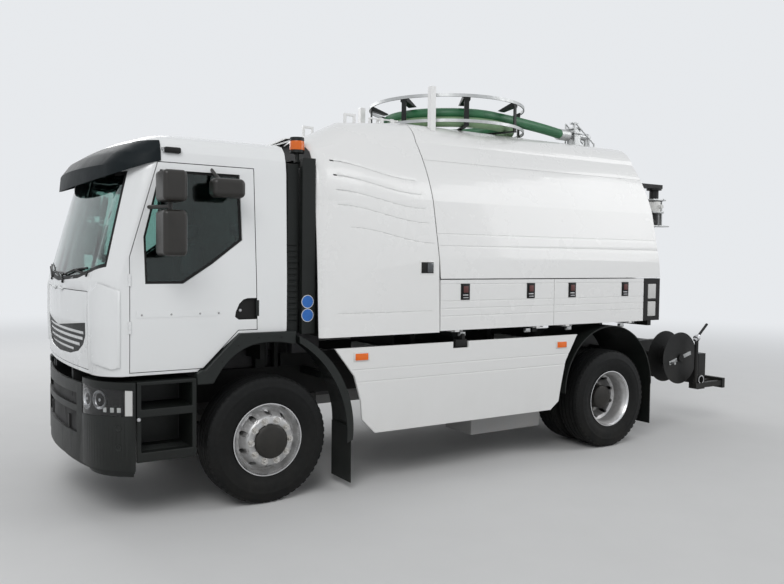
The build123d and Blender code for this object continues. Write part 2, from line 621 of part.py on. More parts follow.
def build_behind_cab():
    """The air intake stack, the grey panel and the beacon frame behind the cab."""
    stack = block(STACK_REAR_X, STACK_FRONT_X, 900, STACK_OUTER_Y, STACK_LOW_Z, STACK_TOP_Z)
    for k in range(14):
        rib_z = STACK_LOW_Z + 90 + 48 * k
        stack -= block(STACK_REAR_X + 14, STACK_FRONT_X + 5, STACK_OUTER_Y - 8, STACK_OUTER_Y + 5, rib_z, rib_z + 20)
    stack += block(STACK_REAR_X, STACK_FRONT_X, RAIL_OUTER_Y - 80, 905, STACK_LOW_Z, STACK_LOW_Z + 70)
    stack += block(STACK_REAR_X, STACK_FRONT_X, RAIL_OUTER_Y - 80, RAIL_OUTER_Y, RAIL_TOP_Z, STACK_LOW_Z + 5)
    write("intake_stack", stack)
    x0 = BEACON_BAR_X - 20
    x1 = BEACON_BAR_X + 20
    frame = block(x0, x1, -SIGN_PANEL_Y, SIGN_PANEL_Y, STACK_LOW_Z, STACK_LOW_Z + 50)
    frame += block(x0, x1, -1020, 1020, BEACON_BAR_Z - 50, BEACON_BAR_Z)
    for side in (1, -1):
        frame += block(x0, x1, side * (RAIL_OUTER_Y - 80), side * RAIL_OUTER_Y, RAIL_TOP_Z, STACK_LOW_Z + 5)
        frame += block(x0, x1, side * 960, side * 1020, STACK_LOW_Z, BEACON_BAR_Z)
        frame += block(x0 + 8, x1 - 8, side * 1015, side * SIGN_PANEL_Y, STACK_LOW_Z, BEACON_BAR_Z)
        frame += block(BODY_FRONT_X + 8, STACK_REAR_X - 7, side * (SIGN_PANEL_Y - 50), side * SIGN_PANEL_Y, STACK_LOW_Z,
                       BEACON_BAR_Z)
        frame += block(x1 - 2, BEACON_X + 20, side * BEACON_Y - 25, side * BEACON_Y + 25, BEACON_BAR_Z - 20, BEACON_BAR_Z)
        frame += Pos(BEACON_X, side * BEACON_Y, BEACON_BAR_Z + 30) * Cylinder(19, 62)
        frame += Pos(BEACON_X, side * BEACON_Y, BEACON_BAR_Z + 125) * Cylinder(BEACON_RADIUS, 130)
    write("beacon_frame", frame)


# Tank body

# Side view of the roof strip, X and Z
ROOF_LINE = [(BODY_REAR_X, BODY_ROOF_Z), (SEAM_X, BODY_ROOF_Z), (-900, 3215), (BODY_FRONT_X, 3040)]
SEAT_WIDTH = 460
# Half section of the covers at their rear: Y and Z from the lower edge to the roof
REAR_SECTION = [
    (BODY_HALF_WIDTH, 1830), (1224, 2000), (1193, 2150), (1110, 2545), (955, 2900),
    (810, 3120), (650, 3300), (SPINE_HALF_WIDTH, BODY_ROOF_Z),
]
# Half section of the front covers at their front edge
FRONT_SECTION = [
    (BODY_HALF_WIDTH, BODY_BOTTOM_Z), (1225, 1670), (1194, 2160), (1162, 2480), (1118, 2780),
    (1040, 2930), (860, 3020), (SPINE_HALF_WIDTH, 3040),
]


def inset_points(points, depth):
    """The same open line moved inwards, towards the vehicle's middle, by a depth."""
    moved = []
    for k, (y, z) in enumerate(points):
        before = points[max(k - 1, 0)]
        after = points[min(k + 1, len(points) - 1)]
        dy = after[0] - before[0]
        dz = after[1] - before[1]
        length = math.hypot(dy, dz)
        moved.append((y - depth * dz / length, z + depth * dy / length))
    return moved


def section_edges(points):
    """A smooth half section: one line, then arcs through the rest in pairs."""
    edges = [Line(points[0], points[1])]
    for k in range(1, len(points) - 2, 2):
        edges.append(ThreePointArc(points[k], points[k + 1], points[k + 2]))
    return edges


def cover_face(points, x):
    """The cut face of a left cover at one X."""
    inner = inset_points(points, COVER_THICKNESS)
    inner[0] = (inner[0][0], points[0][1])
    inner[-1] = (points[-1][0], inner[-1][1])
    edges = section_edges(points)
    edges.append(Line(points[-1], inner[-1]))
    edges += section_edges(inner)
    edges.append(Line(inner[0], points[0]))
    return section_plane(x) * make_face(edges)


def seam_section(bottom_z):
    """The rear section carried down to another lower edge."""
    points = list(REAR_SECTION)
    points[0] = (BODY_HALF_WIDTH, bottom_z)
    return points


def full_outline(points, depth):
    """A closed section over both sides, set inwards by a depth."""
    half = inset_points(points, depth)
    half[0] = (half[0][0], points[0][1])
    left = section_edges(half)
    right = [mirror(edge, about=Plane.YZ) for edge in left]
    top = Line(half[-1], (-half[-1][0], half[-1][1]))
    bottom = Line(half[0], (-half[0][0], half[0][1]))
    return make_face(left + right + [top, bottom])


def bulkhead(points, x0, x1, gap, hole_radius):
    """A plate across the body inside its covers, with a hole for the tank."""
    plane = section_plane(x0)
    plate = extrude(plane * full_outline(points, COVER_THICKNESS + gap), amount=x1 - x0, dir=(1, 0, 0))
    if hole_radius > 0:
        plate -= rod((x0 - 5, 0, TANK_CENTRE_Z), (x1 + 5, 0, TANK_CENTRE_Z), hole_radius)
    return plate


def nose_section(depth):
    """The front section of the covers set inwards, with its ends on the same lines."""
    points = inset_points(FRONT_SECTION, depth)
    points[0] = (points[0][0], BODY_BOTTOM_Z)
    points[-1] = (SPINE_HALF_WIDTH, points[-1][1])
    return points


def middle_section():
    """The covers' section between their front and the seam."""
    middle = []
    for (fy, fz), (ry, rz) in zip(FRONT_SECTION, seam_section(BODY_BOTTOM_Z)):
        middle.append((0.45 * fy + 0.55 * ry, 0.3 * fz + 0.7 * rz))
    return middle


def wave_strip(start, end):
    """A narrow S-shaped band between two points given as X and Z."""
    upper = []
    lower = []
    for k in range(9):
        t = k / 8
        x = start[0] + (end[0] - start[0]) * t
        z = start[1] + (end[1] - start[1]) * (1 - math.cos(math.pi * t)) / 2
        upper.append((x, z + GROOVE_WIDTH / 2))
        lower.append((x, z - GROOVE_WIDTH / 2))
    return side_prism(upper + lower[::-1], 700, BODY_HALF_WIDTH + 20)


def section_plane(x):
    """A plane across the vehicle."""
    return Plane(origin=(x, 0, 0), x_dir=(0, 1, 0), z_dir=(1, 0, 0))


def build_covers():
    """White covers: one each side over the pump room, one each side along the tank."""
    rear_points = seam_section(LOCKER_TOP_Z + 10)
    rear = extrude(cover_face(rear_points, BODY_REAR_X), amount=SEAM_X - BODY_REAR_X - 5, dir=(1, 0, 0))
    core = extrude(section_plane(BODY_REAR_X - 5) * full_outline(rear_points, GROOVE_DEPTH), amount=3200, dir=(1, 0, 0))
    # Height of each crease along the rear covers
    for z in (2935, 2240, 2130):
        crease = block(BODY_REAR_X - 5, SEAM_X, 800, BODY_HALF_WIDTH, z - GROOVE_WIDTH / 2, z + GROOVE_WIDTH / 2)
        rear -= crease - core
    write("rear_covers", pair(rear))
    middle = middle_section()
    last = seam_section(BODY_BOTTOM_Z)
    sections = [cover_face(nose_section(COVER_NOSE), BODY_FRONT_X)]
    sections.append(cover_face(nose_section(COVER_NOSE * 0.25), BODY_FRONT_X - 22))
    sections.append(cover_face(FRONT_SECTION, BODY_FRONT_X - 65))
    sections.append(cover_face(middle, -900))
    sections.append(cover_face(last, SEAM_X + 5))
    front = loft(sections, ruled=True)
    inner = [section_plane(BODY_FRONT_X) * full_outline(FRONT_SECTION, GROOVE_DEPTH)]
    inner.append(section_plane(-900) * full_outline(middle, GROOVE_DEPTH))
    inner.append(section_plane(SEAM_X + 5) * full_outline(last, GROOVE_DEPTH))
    core = loft(inner, ruled=True)
    grooves = block(-1560, -590, 900, BODY_HALF_WIDTH, 1530, 1530 + GROOVE_WIDTH)
    # Start and end of each wave, X and Z
    for start, end in (((-575, 2838), (-1480, 2720)), ((-590, 2712), (-1515, 2592)), ((-605, 2586), (-1540, 2462)),
                       ((-620, 2460), (-1565, 2332)), ((-740, 2270), (-1600, 2150))):
        grooves += wave_strip(start, end)
    front -= grooves - core
    for x in COVER_KNUCKLE_X[:2]:
        knuckle_x = x + 12
        front += rod((knuckle_x, SPINE_HALF_WIDTH, COVER_PIN_Z),
                     (knuckle_x + COVER_KNUCKLE_LENGTH, SPINE_HALF_WIDTH, COVER_PIN_Z), COVER_KNUCKLE_RADIUS)
        front += block(knuckle_x, knuckle_x + COVER_KNUCKLE_LENGTH, SPINE_HALF_WIDTH + 4,
                       SPINE_HALF_WIDTH + COVER_KNUCKLE_RADIUS, 3285, COVER_PIN_Z)
    front -= rod((SEAM_X, SPINE_HALF_WIDTH, COVER_PIN_Z), (BODY_FRONT_X, SPINE_HALF_WIDTH, COVER_PIN_Z),
                 COVER_PIN_RADIUS + RUNNING_FIT)
    write("front_cover_left", front)
    write("front_cover_right", mirrored(front))


def build_body_frame():
    """Subframe, bulkheads, tank saddles and the cross bearers that carry covers and lockers."""
    rail = block(-4780, BODY_FRONT_X - 10, RAIL_OUTER_Y - 80, RAIL_OUTER_Y, RAIL_TOP_Z, 1130)
    frame = rail + mirrored(rail)
    hole = TANK_RADIUS + SEAT_GAP
    plate_x = FRONT_PLATE_X
    front_plate = bulkhead(FRONT_SECTION, plate_x, plate_x + 20, SEAL_GAP, 0)
    roof_seat = [(x, z - COVER_THICKNESS - SEAT_GAP) for x, z in ROOF_LINE]
    roof_seat += [(BODY_FRONT_X, 2900), (BODY_REAR_X, 2900)]
    front_plate += side_prism(roof_seat, -SEAT_WIDTH, SEAT_WIDTH) & block(
        plate_x, plate_x + 20, -SEAT_WIDTH, SEAT_WIDTH, 2950, BODY_ROOF_Z)
    front_plate += block(plate_x, plate_x + 20, -RAIL_OUTER_Y, RAIL_OUTER_Y, 1120, BODY_BOTTOM_Z + 5)
    frame += front_plate
    for x0 in (SEAM_X - 30, BODY_REAR_X + 20):
        plate = bulkhead(seam_section(BODY_BOTTOM_Z), x0, x0 + 20, SEAT_GAP, hole)
        plate += block(x0, x0 + 20, -RAIL_OUTER_Y, RAIL_OUTER_Y, 1120, BODY_BOTTOM_Z + 60)
        plate -= block(x0 - 5, x0 + 25, LOCKER_INNER_Y - 2, BODY_HALF_WIDTH + 5, BODY_BOTTOM_Z - 5, LOCKER_TOP_Z + 8)
        plate -= block(x0 - 5, x0 + 25, -BODY_HALF_WIDTH - 5, 2 - LOCKER_INNER_Y, BODY_BOTTOM_Z - 5, LOCKER_TOP_Z + 8)
        plate -= rod((x0 - 5, 0, TANK_CENTRE_Z), (x0 + 25, 0, TANK_CENTRE_Z), hole)
        frame += plate
    for x in (-2350, -3400):
        saddle = block(x - 40, x + 40, -560, 560, 1120, 1600)
        saddle -= rod((x - 50, 0, TANK_CENTRE_Z), (x + 50, 0, TANK_CENTRE_Z), hole)
        frame += saddle
    for x in (-1900, -2900, -4650):
        reach = BODY_HALF_WIDTH - 97
        frame += block(x - 30, x + 30, -reach, reach, 1285, LOCKER_BOTTOM_Z - SEAT_GAP)
        frame += block(x - 30, x + 30, -RAIL_OUTER_Y, RAIL_OUTER_Y, 1120, 1290)
    frame -= rod((BODY_REAR_X, 0, TANK_CENTRE_Z), (SEAM_X, 0, TANK_CENTRE_Z), hole)
    write("body_frame", frame)


def build_roof_deck():
    """The flat roof strip between the covers, with its posts and low hoops."""
    half = SPINE_HALF_WIDTH - PANEL_GAP
    low = [(x, z - COVER_THICKNESS) for x, z in reversed(ROOF_LINE)]
    deck = side_prism(ROOF_LINE + low, -half, half)
    pin = rod((COVER_KNUCKLE_X[0] - 30, SPINE_HALF_WIDTH, COVER_PIN_Z),
              (COVER_KNUCKLE_X[-1] + 30, SPINE_HALF_WIDTH, COVER_PIN_Z), COVER_PIN_RADIUS)
    for x in [COVER_KNUCKLE_X[0] - 30, (COVER_KNUCKLE_X[0] + COVER_KNUCKLE_X[-1]) / 2 + 60, COVER_KNUCKLE_X[-1] + 30]:
        pin += block(x - 8, x + 8, half - 30, SPINE_HALF_WIDTH + COVER_PIN_RADIUS, COVER_PIN_Z - COVER_PIN_RADIUS,
                     COVER_PIN_Z + COVER_PIN_RADIUS)
        pin += block(x - 8, x + 8, half - 30, half - 4, 3250, COVER_PIN_Z)
    deck += pin
    deck += mirrored(pin)
    write("roof_deck", deck)


def build_posts():
    """Upright posts beside the hose basket and low hoops ahead of it."""
    shapes = []
    post = block(POST_X - 30, POST_X + 30, POST_Y - 30, POST_Y + 30, 3200, POST_TOP_Z)
    plane = section_plane(POST_X - 50)
    post -= extrude(plane * full_outline(seam_section(LOCKER_TOP_Z), -SEAT_GAP), amount=100, dir=(1, 0, 0))
    shapes += pair(post)
    low = block(-1190, -1165, 430, 455, 3262, 3380) + block(-1090, -1065, 430, 455, 3220, 3380)
    low += block(-1190, -1065, 430, 455, 3360, 3385)
    low -= side_prism(ROOF_LINE + [(BODY_FRONT_X, 2900), (BODY_REAR_X, 2900)], 400, 480)
    shapes += pair(low)
    write("roof_posts", shapes)


def dish_arc(edge_x, radius, depth):
    """Three points of a dished end's arc from its rim to the axis; a negative depth bulges rearwards."""
    sphere = (radius ** 2 + depth ** 2) / (2 * abs(depth))
    way = 1 if depth > 0 else -1
    centre_x = edge_x + depth - way * sphere
    half_angle = math.asin(radius / sphere) / 2
    middle = (centre_x + way * sphere * math.cos(half_angle), sphere * math.sin(half_angle))
    return [(edge_x, radius), middle, (edge_x + depth, 0)]


def build_tank():
    """The suction tank with its dished front end and rear flange."""
    rear = BODY_REAR_X - TANK_FLANGE_THICKNESS
    outer = TANK_RADIUS
    inner = TANK_RADIUS - TANK_WALL
    outside = dish_arc(TANK_FRONT_X, outer, TANK_DISH)
    inside = dish_arc(TANK_FRONT_X, inner, TANK_DISH - TANK_WALL)
    flange = outer + TANK_FLANGE
    edges = [
        ThreePointArc(*reversed(outside)),
        Line((TANK_FRONT_X, outer), (BODY_REAR_X, outer)),
        Line((BODY_REAR_X, outer), (BODY_REAR_X, flange)),
        Line((BODY_REAR_X, flange), (rear, flange)),
        Line((rear, flange), (rear, inner)),
        Line((rear, inner), (TANK_FRONT_X, inner)),
        ThreePointArc(*inside),
        Line(inside[2], outside[2]),
    ]
    tank = Pos(0, 0, TANK_CENTRE_Z) * revolve(make_face(edges), axis=Axis.X)
    lug = block(BODY_REAR_X - 5, rear - 40, 235, 275, DOOR_HINGE_Z - 95, DOOR_HINGE_Z + 30)
    lug -= rod((rear - 15, 230, DOOR_HINGE_Z), (rear - 15, 280, DOOR_HINGE_Z), HINGE_PIN_RADIUS + RUNNING_FIT)
    lug -= block(rear - SEAT_GAP, rear - 60, 230, 280, DOOR_HINGE_Z - 100, DOOR_HINGE_Z - 30)
    tank += lug
    tank += mirrored(lug)
    write("tank", tank)


def build_tank_door():
    """The round rear door, hinged at its top, with its suction bend and valve."""
    front = BODY_REAR_X - TANK_FLANGE_THICKNESS - 1
    flange = TANK_RADIUS + TANK_FLANGE
    back = front - TANK_FLANGE_THICKNESS
    inner = TANK_RADIUS - TANK_WALL
    outside = dish_arc(back, TANK_RADIUS, -DOOR_DISH)
    inside = dish_arc(back, inner, TANK_WALL - DOOR_DISH)
    edges = [
        Line((front, flange), (back, flange)),
        Line((back, flange), (back, TANK_RADIUS)),
        ThreePointArc(*outside),
        Line(outside[2], inside[2]),
        ThreePointArc(*reversed(inside)),
        Line((back, inner), (front, inner)),
        Line((front, inner), (front, flange)),
    ]
    door = Pos(0, 0, TANK_CENTRE_Z) * revolve(make_face(edges), axis=Axis.X)
    hinge_x = BODY_REAR_X - TANK_FLANGE_THICKNESS - 15
    door += block(back, front, -230, 230, DOOR_HINGE_Z - 100, DOOR_HINGE_Z)
    door += rod((hinge_x, -276, DOOR_HINGE_Z), (hinge_x, 276, DOOR_HINGE_Z), HINGE_PIN_RADIUS)
    door += rod((hinge_x, -230, DOOR_HINGE_Z), (hinge_x, 230, DOOR_HINGE_Z), HINGE_PIN_RADIUS + 10)
    write("tank_door", door)


def build_rear_pipes():
    """The suction bend with its valve on the rear door."""
    front = BODY_REAR_X - TANK_FLANGE_THICKNESS - 1
    back = front - TANK_FLANGE_THICKNESS
    flange = TANK_RADIUS + TANK_FLANGE
    outside = dish_arc(back, TANK_RADIUS, -DOOR_DISH)
    edges = [Line((front, 0), (front, flange)), Line((front, flange), (back, flange)),
             Line((back, flange), (back, TANK_RADIUS)), ThreePointArc(*outside), Line(outside[2], (front, 0))]
    envelope = Pos(-SEAT_GAP, 0, TANK_CENTRE_Z) * revolve(make_face(edges), axis=Axis.X)
    y = REAR_PIPE_Y
    low = (REAR_PIPE_X, y, REAR_PIPE_LOW_Z)
    high = (REAR_PIPE_X, y, REAR_PIPE_TOP_Z)
    pipes = rod((back, y, REAR_PIPE_LOW_Z), low, REAR_PIPE_RADIUS)
    pipes += Pos(*low) * Sphere(REAR_PIPE_RADIUS)
    pipes += rod(low, high, REAR_PIPE_RADIUS)
    pipes += rod((REAR_PIPE_X, y, 2610), (REAR_PIPE_X, y, 2740), REAR_PIPE_RADIUS + 26)
    pipes += rod((REAR_PIPE_X, y, 2675), (REAR_PIPE_X, y + 130, 2675), 24)
    pipes += rod((REAR_PIPE_X, y, 2880), (REAR_PIPE_X, y, 2905), REAR_PIPE_RADIUS + 34)
    pipes += block(-5440, -5060, y - 40, y + 40, 2900, 2950)
    pipes += block(back - 60, -5060, y - 30, y + 30, 2905, 2945) - block(-5000, back + 5, y - 40, y + 40, 2800, 2900)
    pipes -= envelope
    write("rear_pipes", pipes)


def build_lockers():
    """Hollow lockers below the rear covers with two drop-down doors on each side."""
    inner_face_y = BODY_HALF_WIDTH - LOCKER_DOOR_THICKNESS
    outer_y = inner_face_y - PANEL_GAP
    front_x = SEAM_X - 5
    box = block(LOCKER_REAR_X, front_x, LOCKER_INNER_Y, outer_y, LOCKER_BOTTOM_Z, LOCKER_TOP_Z)
    for x0, x1 in ((LOCKER_SPLIT_X, front_x), (LOCKER_REAR_X, LOCKER_SPLIT_X)):
        box -= block(x0 + LOCKER_WALL, x1 - LOCKER_WALL, LOCKER_INNER_Y + LOCKER_WALL, outer_y + 5,
                     LOCKER_BOTTOM_Z + LOCKER_WALL, LOCKER_TOP_Z - LOCKER_WALL)
    for end, x0, x1 in (("front", LOCKER_SPLIT_X + 3, front_x), ("rear", LOCKER_REAR_X, LOCKER_SPLIT_X - 3)):
        door = block(x0, x1, inner_face_y, BODY_HALF_WIDTH, LOCKER_BOTTOM_Z, LOCKER_TOP_Z)
        # Height of each rib line
        for z in (1478, 1548, 1616, 1772):
            door -= block(x0 - 5, x1 + 5, BODY_HALF_WIDTH - GROOVE_DEPTH, BODY_HALF_WIDTH + 5, z, z + GROOVE_WIDTH)
        for middle in (x0 + 200, x1 - 200):
            low = middle - LOCKER_KNUCKLE_LENGTH / 2
            high = middle + LOCKER_KNUCKLE_LENGTH / 2
            door += rod((low, LOCKER_PIN_Y, LOCKER_PIN_Z), (high, LOCKER_PIN_Y, LOCKER_PIN_Z), LOCKER_KNUCKLE_RADIUS)
            door += block(low, high, LOCKER_PIN_Y - 6, LOCKER_PIN_Y + 6, LOCKER_PIN_Z, LOCKER_BOTTOM_Z + 5)
            door -= rod((low - 1, LOCKER_PIN_Y, LOCKER_PIN_Z), (high + 1, LOCKER_PIN_Y, LOCKER_PIN_Z),
                        LOCKER_PIN_RADIUS + RUNNING_FIT)
            pin = rod((low - 40, LOCKER_PIN_Y, LOCKER_PIN_Z), (high + 40, LOCKER_PIN_Y, LOCKER_PIN_Z),
                      LOCKER_PIN_RADIUS)
            for x in (low - 40, high + 40):
                ear = 12 if x > middle else -12
                pin += block(x - ear, x, LOCKER_PIN_Y - 70, LOCKER_PIN_Y + 6, LOCKER_PIN_Z - 6, LOCKER_PIN_Z + 6)
                pin += block(x - ear, x, outer_y - 60, outer_y - 20, LOCKER_PIN_Z - 6, LOCKER_BOTTOM_Z + 2)
            box += pin
        write(f"locker_door_left_{end}", door)
        write(f"locker_door_right_{end}", mirrored(door))
    write("lockers", pair(box))


def build_tail():
    """Tail lamp panels behind the lockers, the rear bar and the towing crossbar."""
    panel = block(BODY_REAR_X, LOCKER_REAR_X - 12, 1150, BODY_HALF_WIDTH, LOCKER_BOTTOM_Z, LOCKER_TOP_Z)
    # Bottom and top of each lamp recess
    for z0, z1 in ((1395, 1570), (1590, 1765)):
        panel -= block(-4640, -4500, BODY_HALF_WIDTH - 10, BODY_HALF_WIDTH + 5, z0, z1)
    panel += block(-4670, -4630, 1100, 1160, LOCKER_BOTTOM_Z, LOCKER_BOTTOM_Z + 60)
    write("tail_lamps", pair(panel))
    bar = block(REAR_END_X, REAR_END_X + 50, -1150, 1150, 460, 580)
    for side in (1, -1):
        bar += block(REAR_END_X + 45, RAIL_REAR_X + 60, side * (RAIL_OUTER_Y - 70), side * RAIL_OUTER_Y, 480, 740)
    bar += block(REAR_END_X + 45, -5770, 930, 990, 490, 550)
    bar += block(-5905, -5770, 870, 1000, 440, 880)
    bar += block(REAR_END_X + 45, -5540, 1080, 1140, 490, 550)
    bar += rod((LEVER_X, LEVER_Y, 540), (LEVER_X, LEVER_Y, LEVER_Z), 22)
    bar += Pos(LEVER_X, LEVER_Y, LEVER_Z) * Sphere(34)
    bar += rod((LEVER_X, LEVER_Y, LEVER_Z), (LEVER_X - 190, LEVER_Y, LEVER_Z + 160), 15)
    bar += rod((-5640, 1085, 590), (-5640, 1135, 590), 52) - rod((-5640, 1080, 590), (-5640, 1140, 590), 40)
    write("rear_bar", bar)


def build_skirts():
    """Side skirts between the wheels, with a latch notch in the upper edge."""
    front_edge = [(-560, 1245), (-750, 1000), (-815, 780), (-830, 620), (-960, 490)]
    rear_edge = [(-3050, 490), (-3160, 570), (-3195, 750), (-3250, 980), (-3410, 1245)]
    notch = [(-1980, 1245), (-1980, 1185), (-1800, 1185), (-1800, 1245)]
    plate = side_prism(front_edge + rear_edge + notch, BODY_HALF_WIDTH - 24, BODY_HALF_WIDTH)
    for z in (938, 1046):
        plate -= block(-3500, -500, BODY_HALF_WIDTH - GROOVE_DEPTH, BODY_HALF_WIDTH + 5, z, z + GROOVE_WIDTH)
    for x in (-1200, -3000):
        plate += block(x - 25, x + 25, RAIL_OUTER_Y, BODY_HALF_WIDTH - 20, 1150, 1200)
        plate += block(x - 25, x + 25, RAIL_OUTER_Y, RAIL_OUTER_Y + 8, 900, 1200)
    write("side_skirts", pair(plate))


def build_rear_gear():
    """Hose reel with its bracket, beside the frame behind the rear wheels."""
    drum = wheel_ring([(25.05, 0), (REEL_RADIUS, 0), (REEL_RADIUS, 6), (120, 6), (120, REEL_WIDTH - 6),
                       (REEL_RADIUS, REEL_WIDTH - 6), (REEL_RADIUS, REEL_WIDTH), (25.05, REEL_WIDTH)])
    reel = Pos(REEL_X, REEL_OUTER_Y - REEL_WIDTH, REEL_Z) * drum
    crank = Rot(0, 15, 0) * (block(-205, 205, 0, 5, -22, 22) - block(-60, 60, -1, 6, -23, 23))
    crank += Rot(0, 15, 0) * rod((185, 4, 0), (185, 70, 0), 14)
    reel += Pos(REEL_X, REEL_OUTER_Y, REEL_Z) * crank
    write("hose_reel", reel)
    stand = rod((REEL_X, RAIL_OUTER_Y, REEL_Z), (REEL_X, REEL_OUTER_Y + 20, REEL_Z), 25)
    stand += rod((REEL_X, RAIL_OUTER_Y, REEL_Z), (REEL_X, REEL_OUTER_Y - REEL_WIDTH - 6, REEL_Z), 45)
    stand += rod((REEL_X, REEL_OUTER_Y + 6, REEL_Z), (REEL_X, REEL_OUTER_Y + 26, REEL_Z), 45)
    write("reel_stand", stand)


def ring_band(radius, z0, z1, thickness):
    """A flat ring band about the hose basket's axis."""
    band = Cylinder(radius, z1 - z0) - Cylinder(radius - thickness, z1 - z0 + 2)
    return Pos(BASKET_X, 0, (z0 + z1) / 2) * band


def build_basket():
    """The roof basket: two ring bands joined by brackets, on legs from the roof deck."""
    basket = ring_band(BASKET_RADIUS, BASKET_TOP_Z - 16, BASKET_TOP_Z + 16, 12)
    basket += ring_band(BASKET_RADIUS, BASKET_LOWER_Z - 16, BASKET_LOWER_Z + 16, 12)
    for k in range(BASKET_BRACKETS):
        turn = Rot(0, 0, 360 * (k + 0.5) / BASKET_BRACKETS)
        arm = block(0, BASKET_RADIUS - 6, -25, 25, BASKET_FLOOR_Z - 12, BASKET_FLOOR_Z)
        upright = block(BASKET_RADIUS - 24, BASKET_RADIUS - 10, -25, 25, BASKET_FLOOR_Z - 12, BASKET_TOP_Z)
        hook = side_prism([(BASKET_RADIUS - 8, BASKET_TOP_Z + 14), (BASKET_RADIUS - 8, BASKET_TOP_Z - 40),
                           (COIL_RADIUS, BASKET_TOP_Z - 78), (COIL_RADIUS - 40, BASKET_TOP_Z - 70)], -38, 38)
        basket += Pos(BASKET_X, 0, 0) * turn * (arm + upright + hook)
    basket += Pos(BASKET_X, 0, (BODY_ROOF_Z + BASKET_FLOOR_Z) / 2) * Cylinder(300, BASKET_FLOOR_Z - BODY_ROOF_Z)
    write("hose_basket", basket)
    coil_z = BASKET_FLOOR_Z + HOSE_RADIUS + SEAT_GAP
    lower = Pos(BASKET_X, 0, coil_z) * Torus(COIL_RADIUS, HOSE_RADIUS)
    upper_z = coil_z + COIL_RISE
    upper = Pos(BASKET_X, 0, upper_z) * Torus(UPPER_COIL_RADIUS, HOSE_RADIUS)
    tail_start = (BASKET_X, UPPER_COIL_RADIUS, upper_z)
    tail_end = (COUPLING_FRONT_X - HOSE_RADIUS, ROOF_PIPE_Y, ROOF_PIPE_Z)
    tail_line = ThreePointArc(tail_start, (-3290, 545, (upper_z + ROOF_PIPE_Z) / 2 + 4), tail_end)
    tail = sweep(Plane(origin=tail_start, z_dir=tail_line % 0) * Circle(HOSE_RADIUS), path=tail_line)
    tail -= block(COUPLING_FRONT_X - 200, COUPLING_FRONT_X, ROOF_PIPE_Y - 150, ROOF_PIPE_Y + 150, ROOF_PIPE_Z - 150,
                  ROOF_PIPE_Z + 150)
    hose = upper + lower + tail
    write("suction_hose", hose)


def build_roof_valve():
    """The coupling, pipe and valve that the roof hose ends in, on the roof deck."""
    y = ROOF_PIPE_Y
    z = ROOF_PIPE_Z
    valve = rod((COUPLING_FRONT_X - SEAT_GAP, y, z), (COUPLING_REAR_X, y, z), HOSE_RADIUS + 12)
    valve += rod((COUPLING_REAR_X + 5, y, z), (-4420, y, z), ROOF_PIPE_RADIUS)
    valve += Pos(-4420, y, z) * Sphere(ROOF_PIPE_RADIUS + 12)
    valve += rod((-4420, y, BODY_ROOF_Z), (-4420, y, z), ROOF_PIPE_RADIUS + 4)
    valve += rod((-4420, y, BODY_ROOF_Z), (-4420, y, BODY_ROOF_Z + 14), 2 * ROOF_PIPE_RADIUS)
    valve += block(-4255, -4165, y - 62, y + 62, BODY_ROOF_Z, z + 95)
    valve += rod((-4210, y, z + 90), (-4210, y, z + 150), 14)
    valve += Pos(-4210, y, z + 150) * Cylinder(48, 12)
    for side in (-1, 1):
        rail_y = y + side * 75
        valve += rod((-4150, rail_y, BODY_ROOF_Z), (-4150, rail_y, z + 150), 9)
        valve += rod((-4150, rail_y, z + 145), (-4470, rail_y, BODY_ROOF_Z + 55), 8.5)
        valve += rod((-4470, rail_y, BODY_ROOF_Z), (-4470, rail_y, BODY_ROOF_Z + 65), 9)
    valve += rod((-4150, y - 75, z + 80), (-4150, y + 75, z + 80), 8)
    valve += block(-4260, -4135, y - 90, y + 90, z + 20, z + 36)
    write("roof_valve", valve)


# Cab

# Outline of the cab from above at a few heights:
# Z, half width, X where the flat side ends, corner X, corner Y, X of the middle of the front
CAB_SECTIONS = [
    (CAB_BOTTOM_Z, 1130, 1150, 1320, 870, 1385),
    (1500, CAB_HALF_WIDTH, 1165, 1330, 870, 1400),
    (CAB_BELT_Z - 120, CAB_HALF_WIDTH, 1165, 1325, 870, 1395),
    (CAB_HEADER_Z, 1115, 915, 1090, 860, 1180),
    (CAB_HEADER_Z + 110, 1100, 875, 1040, 838, 1128),
    (CAB_ROOF_EDGE_Z + 15, 1072, 845, 995, 812, 1085),
    (CAB_ROOF_Z - 26, 1020, 800, 940, 770, 1025),
    (CAB_ROOF_Z, 920, 740, 860, 700, 940),
]

# Front view of the grille, Y and Z, from its upper left corner down to the middle
GRILLE_HALF = [(798, 1500), (792, 1400), (740, 1330), (620, 1270), (400, 1232), (0, 1218)]
# Side view of the handle recess in the left door, X and Z
HANDLE_OUTLINE = [(60, 1512), (255, 1512), (286, 1535), (280, 1575), (250, 1640), (215, 1672), (180, 1682), (60, 1682)]
# Side view of the corner deflector, X and Z
DEFLECTOR_OUTLINE = [(1340, 1725), (1300, 1805), (1172, 1750), (1168, 1192), (1225, 1176), (1330, 1215)]
# Side view of the arch moulding, X and Z, from its front end over the wheel
TRIM_OUTLINE = [(603, 1108), (565, 1134), (534, 1134), (310, 1357), (255, CAB_ARCH_TOP_Z - SEAT_GAP),
                (-235, CAB_ARCH_TOP_Z - SEAT_GAP), (-235, 1290), (-171, 1306), (-90, 1318), (0, 1322), (80, 1318),
                (152, 1304), (220, 1278), (285, 1240), (345, 1190), (395, 1135), (435, 1078), (469, 1021), (603, 1021)]


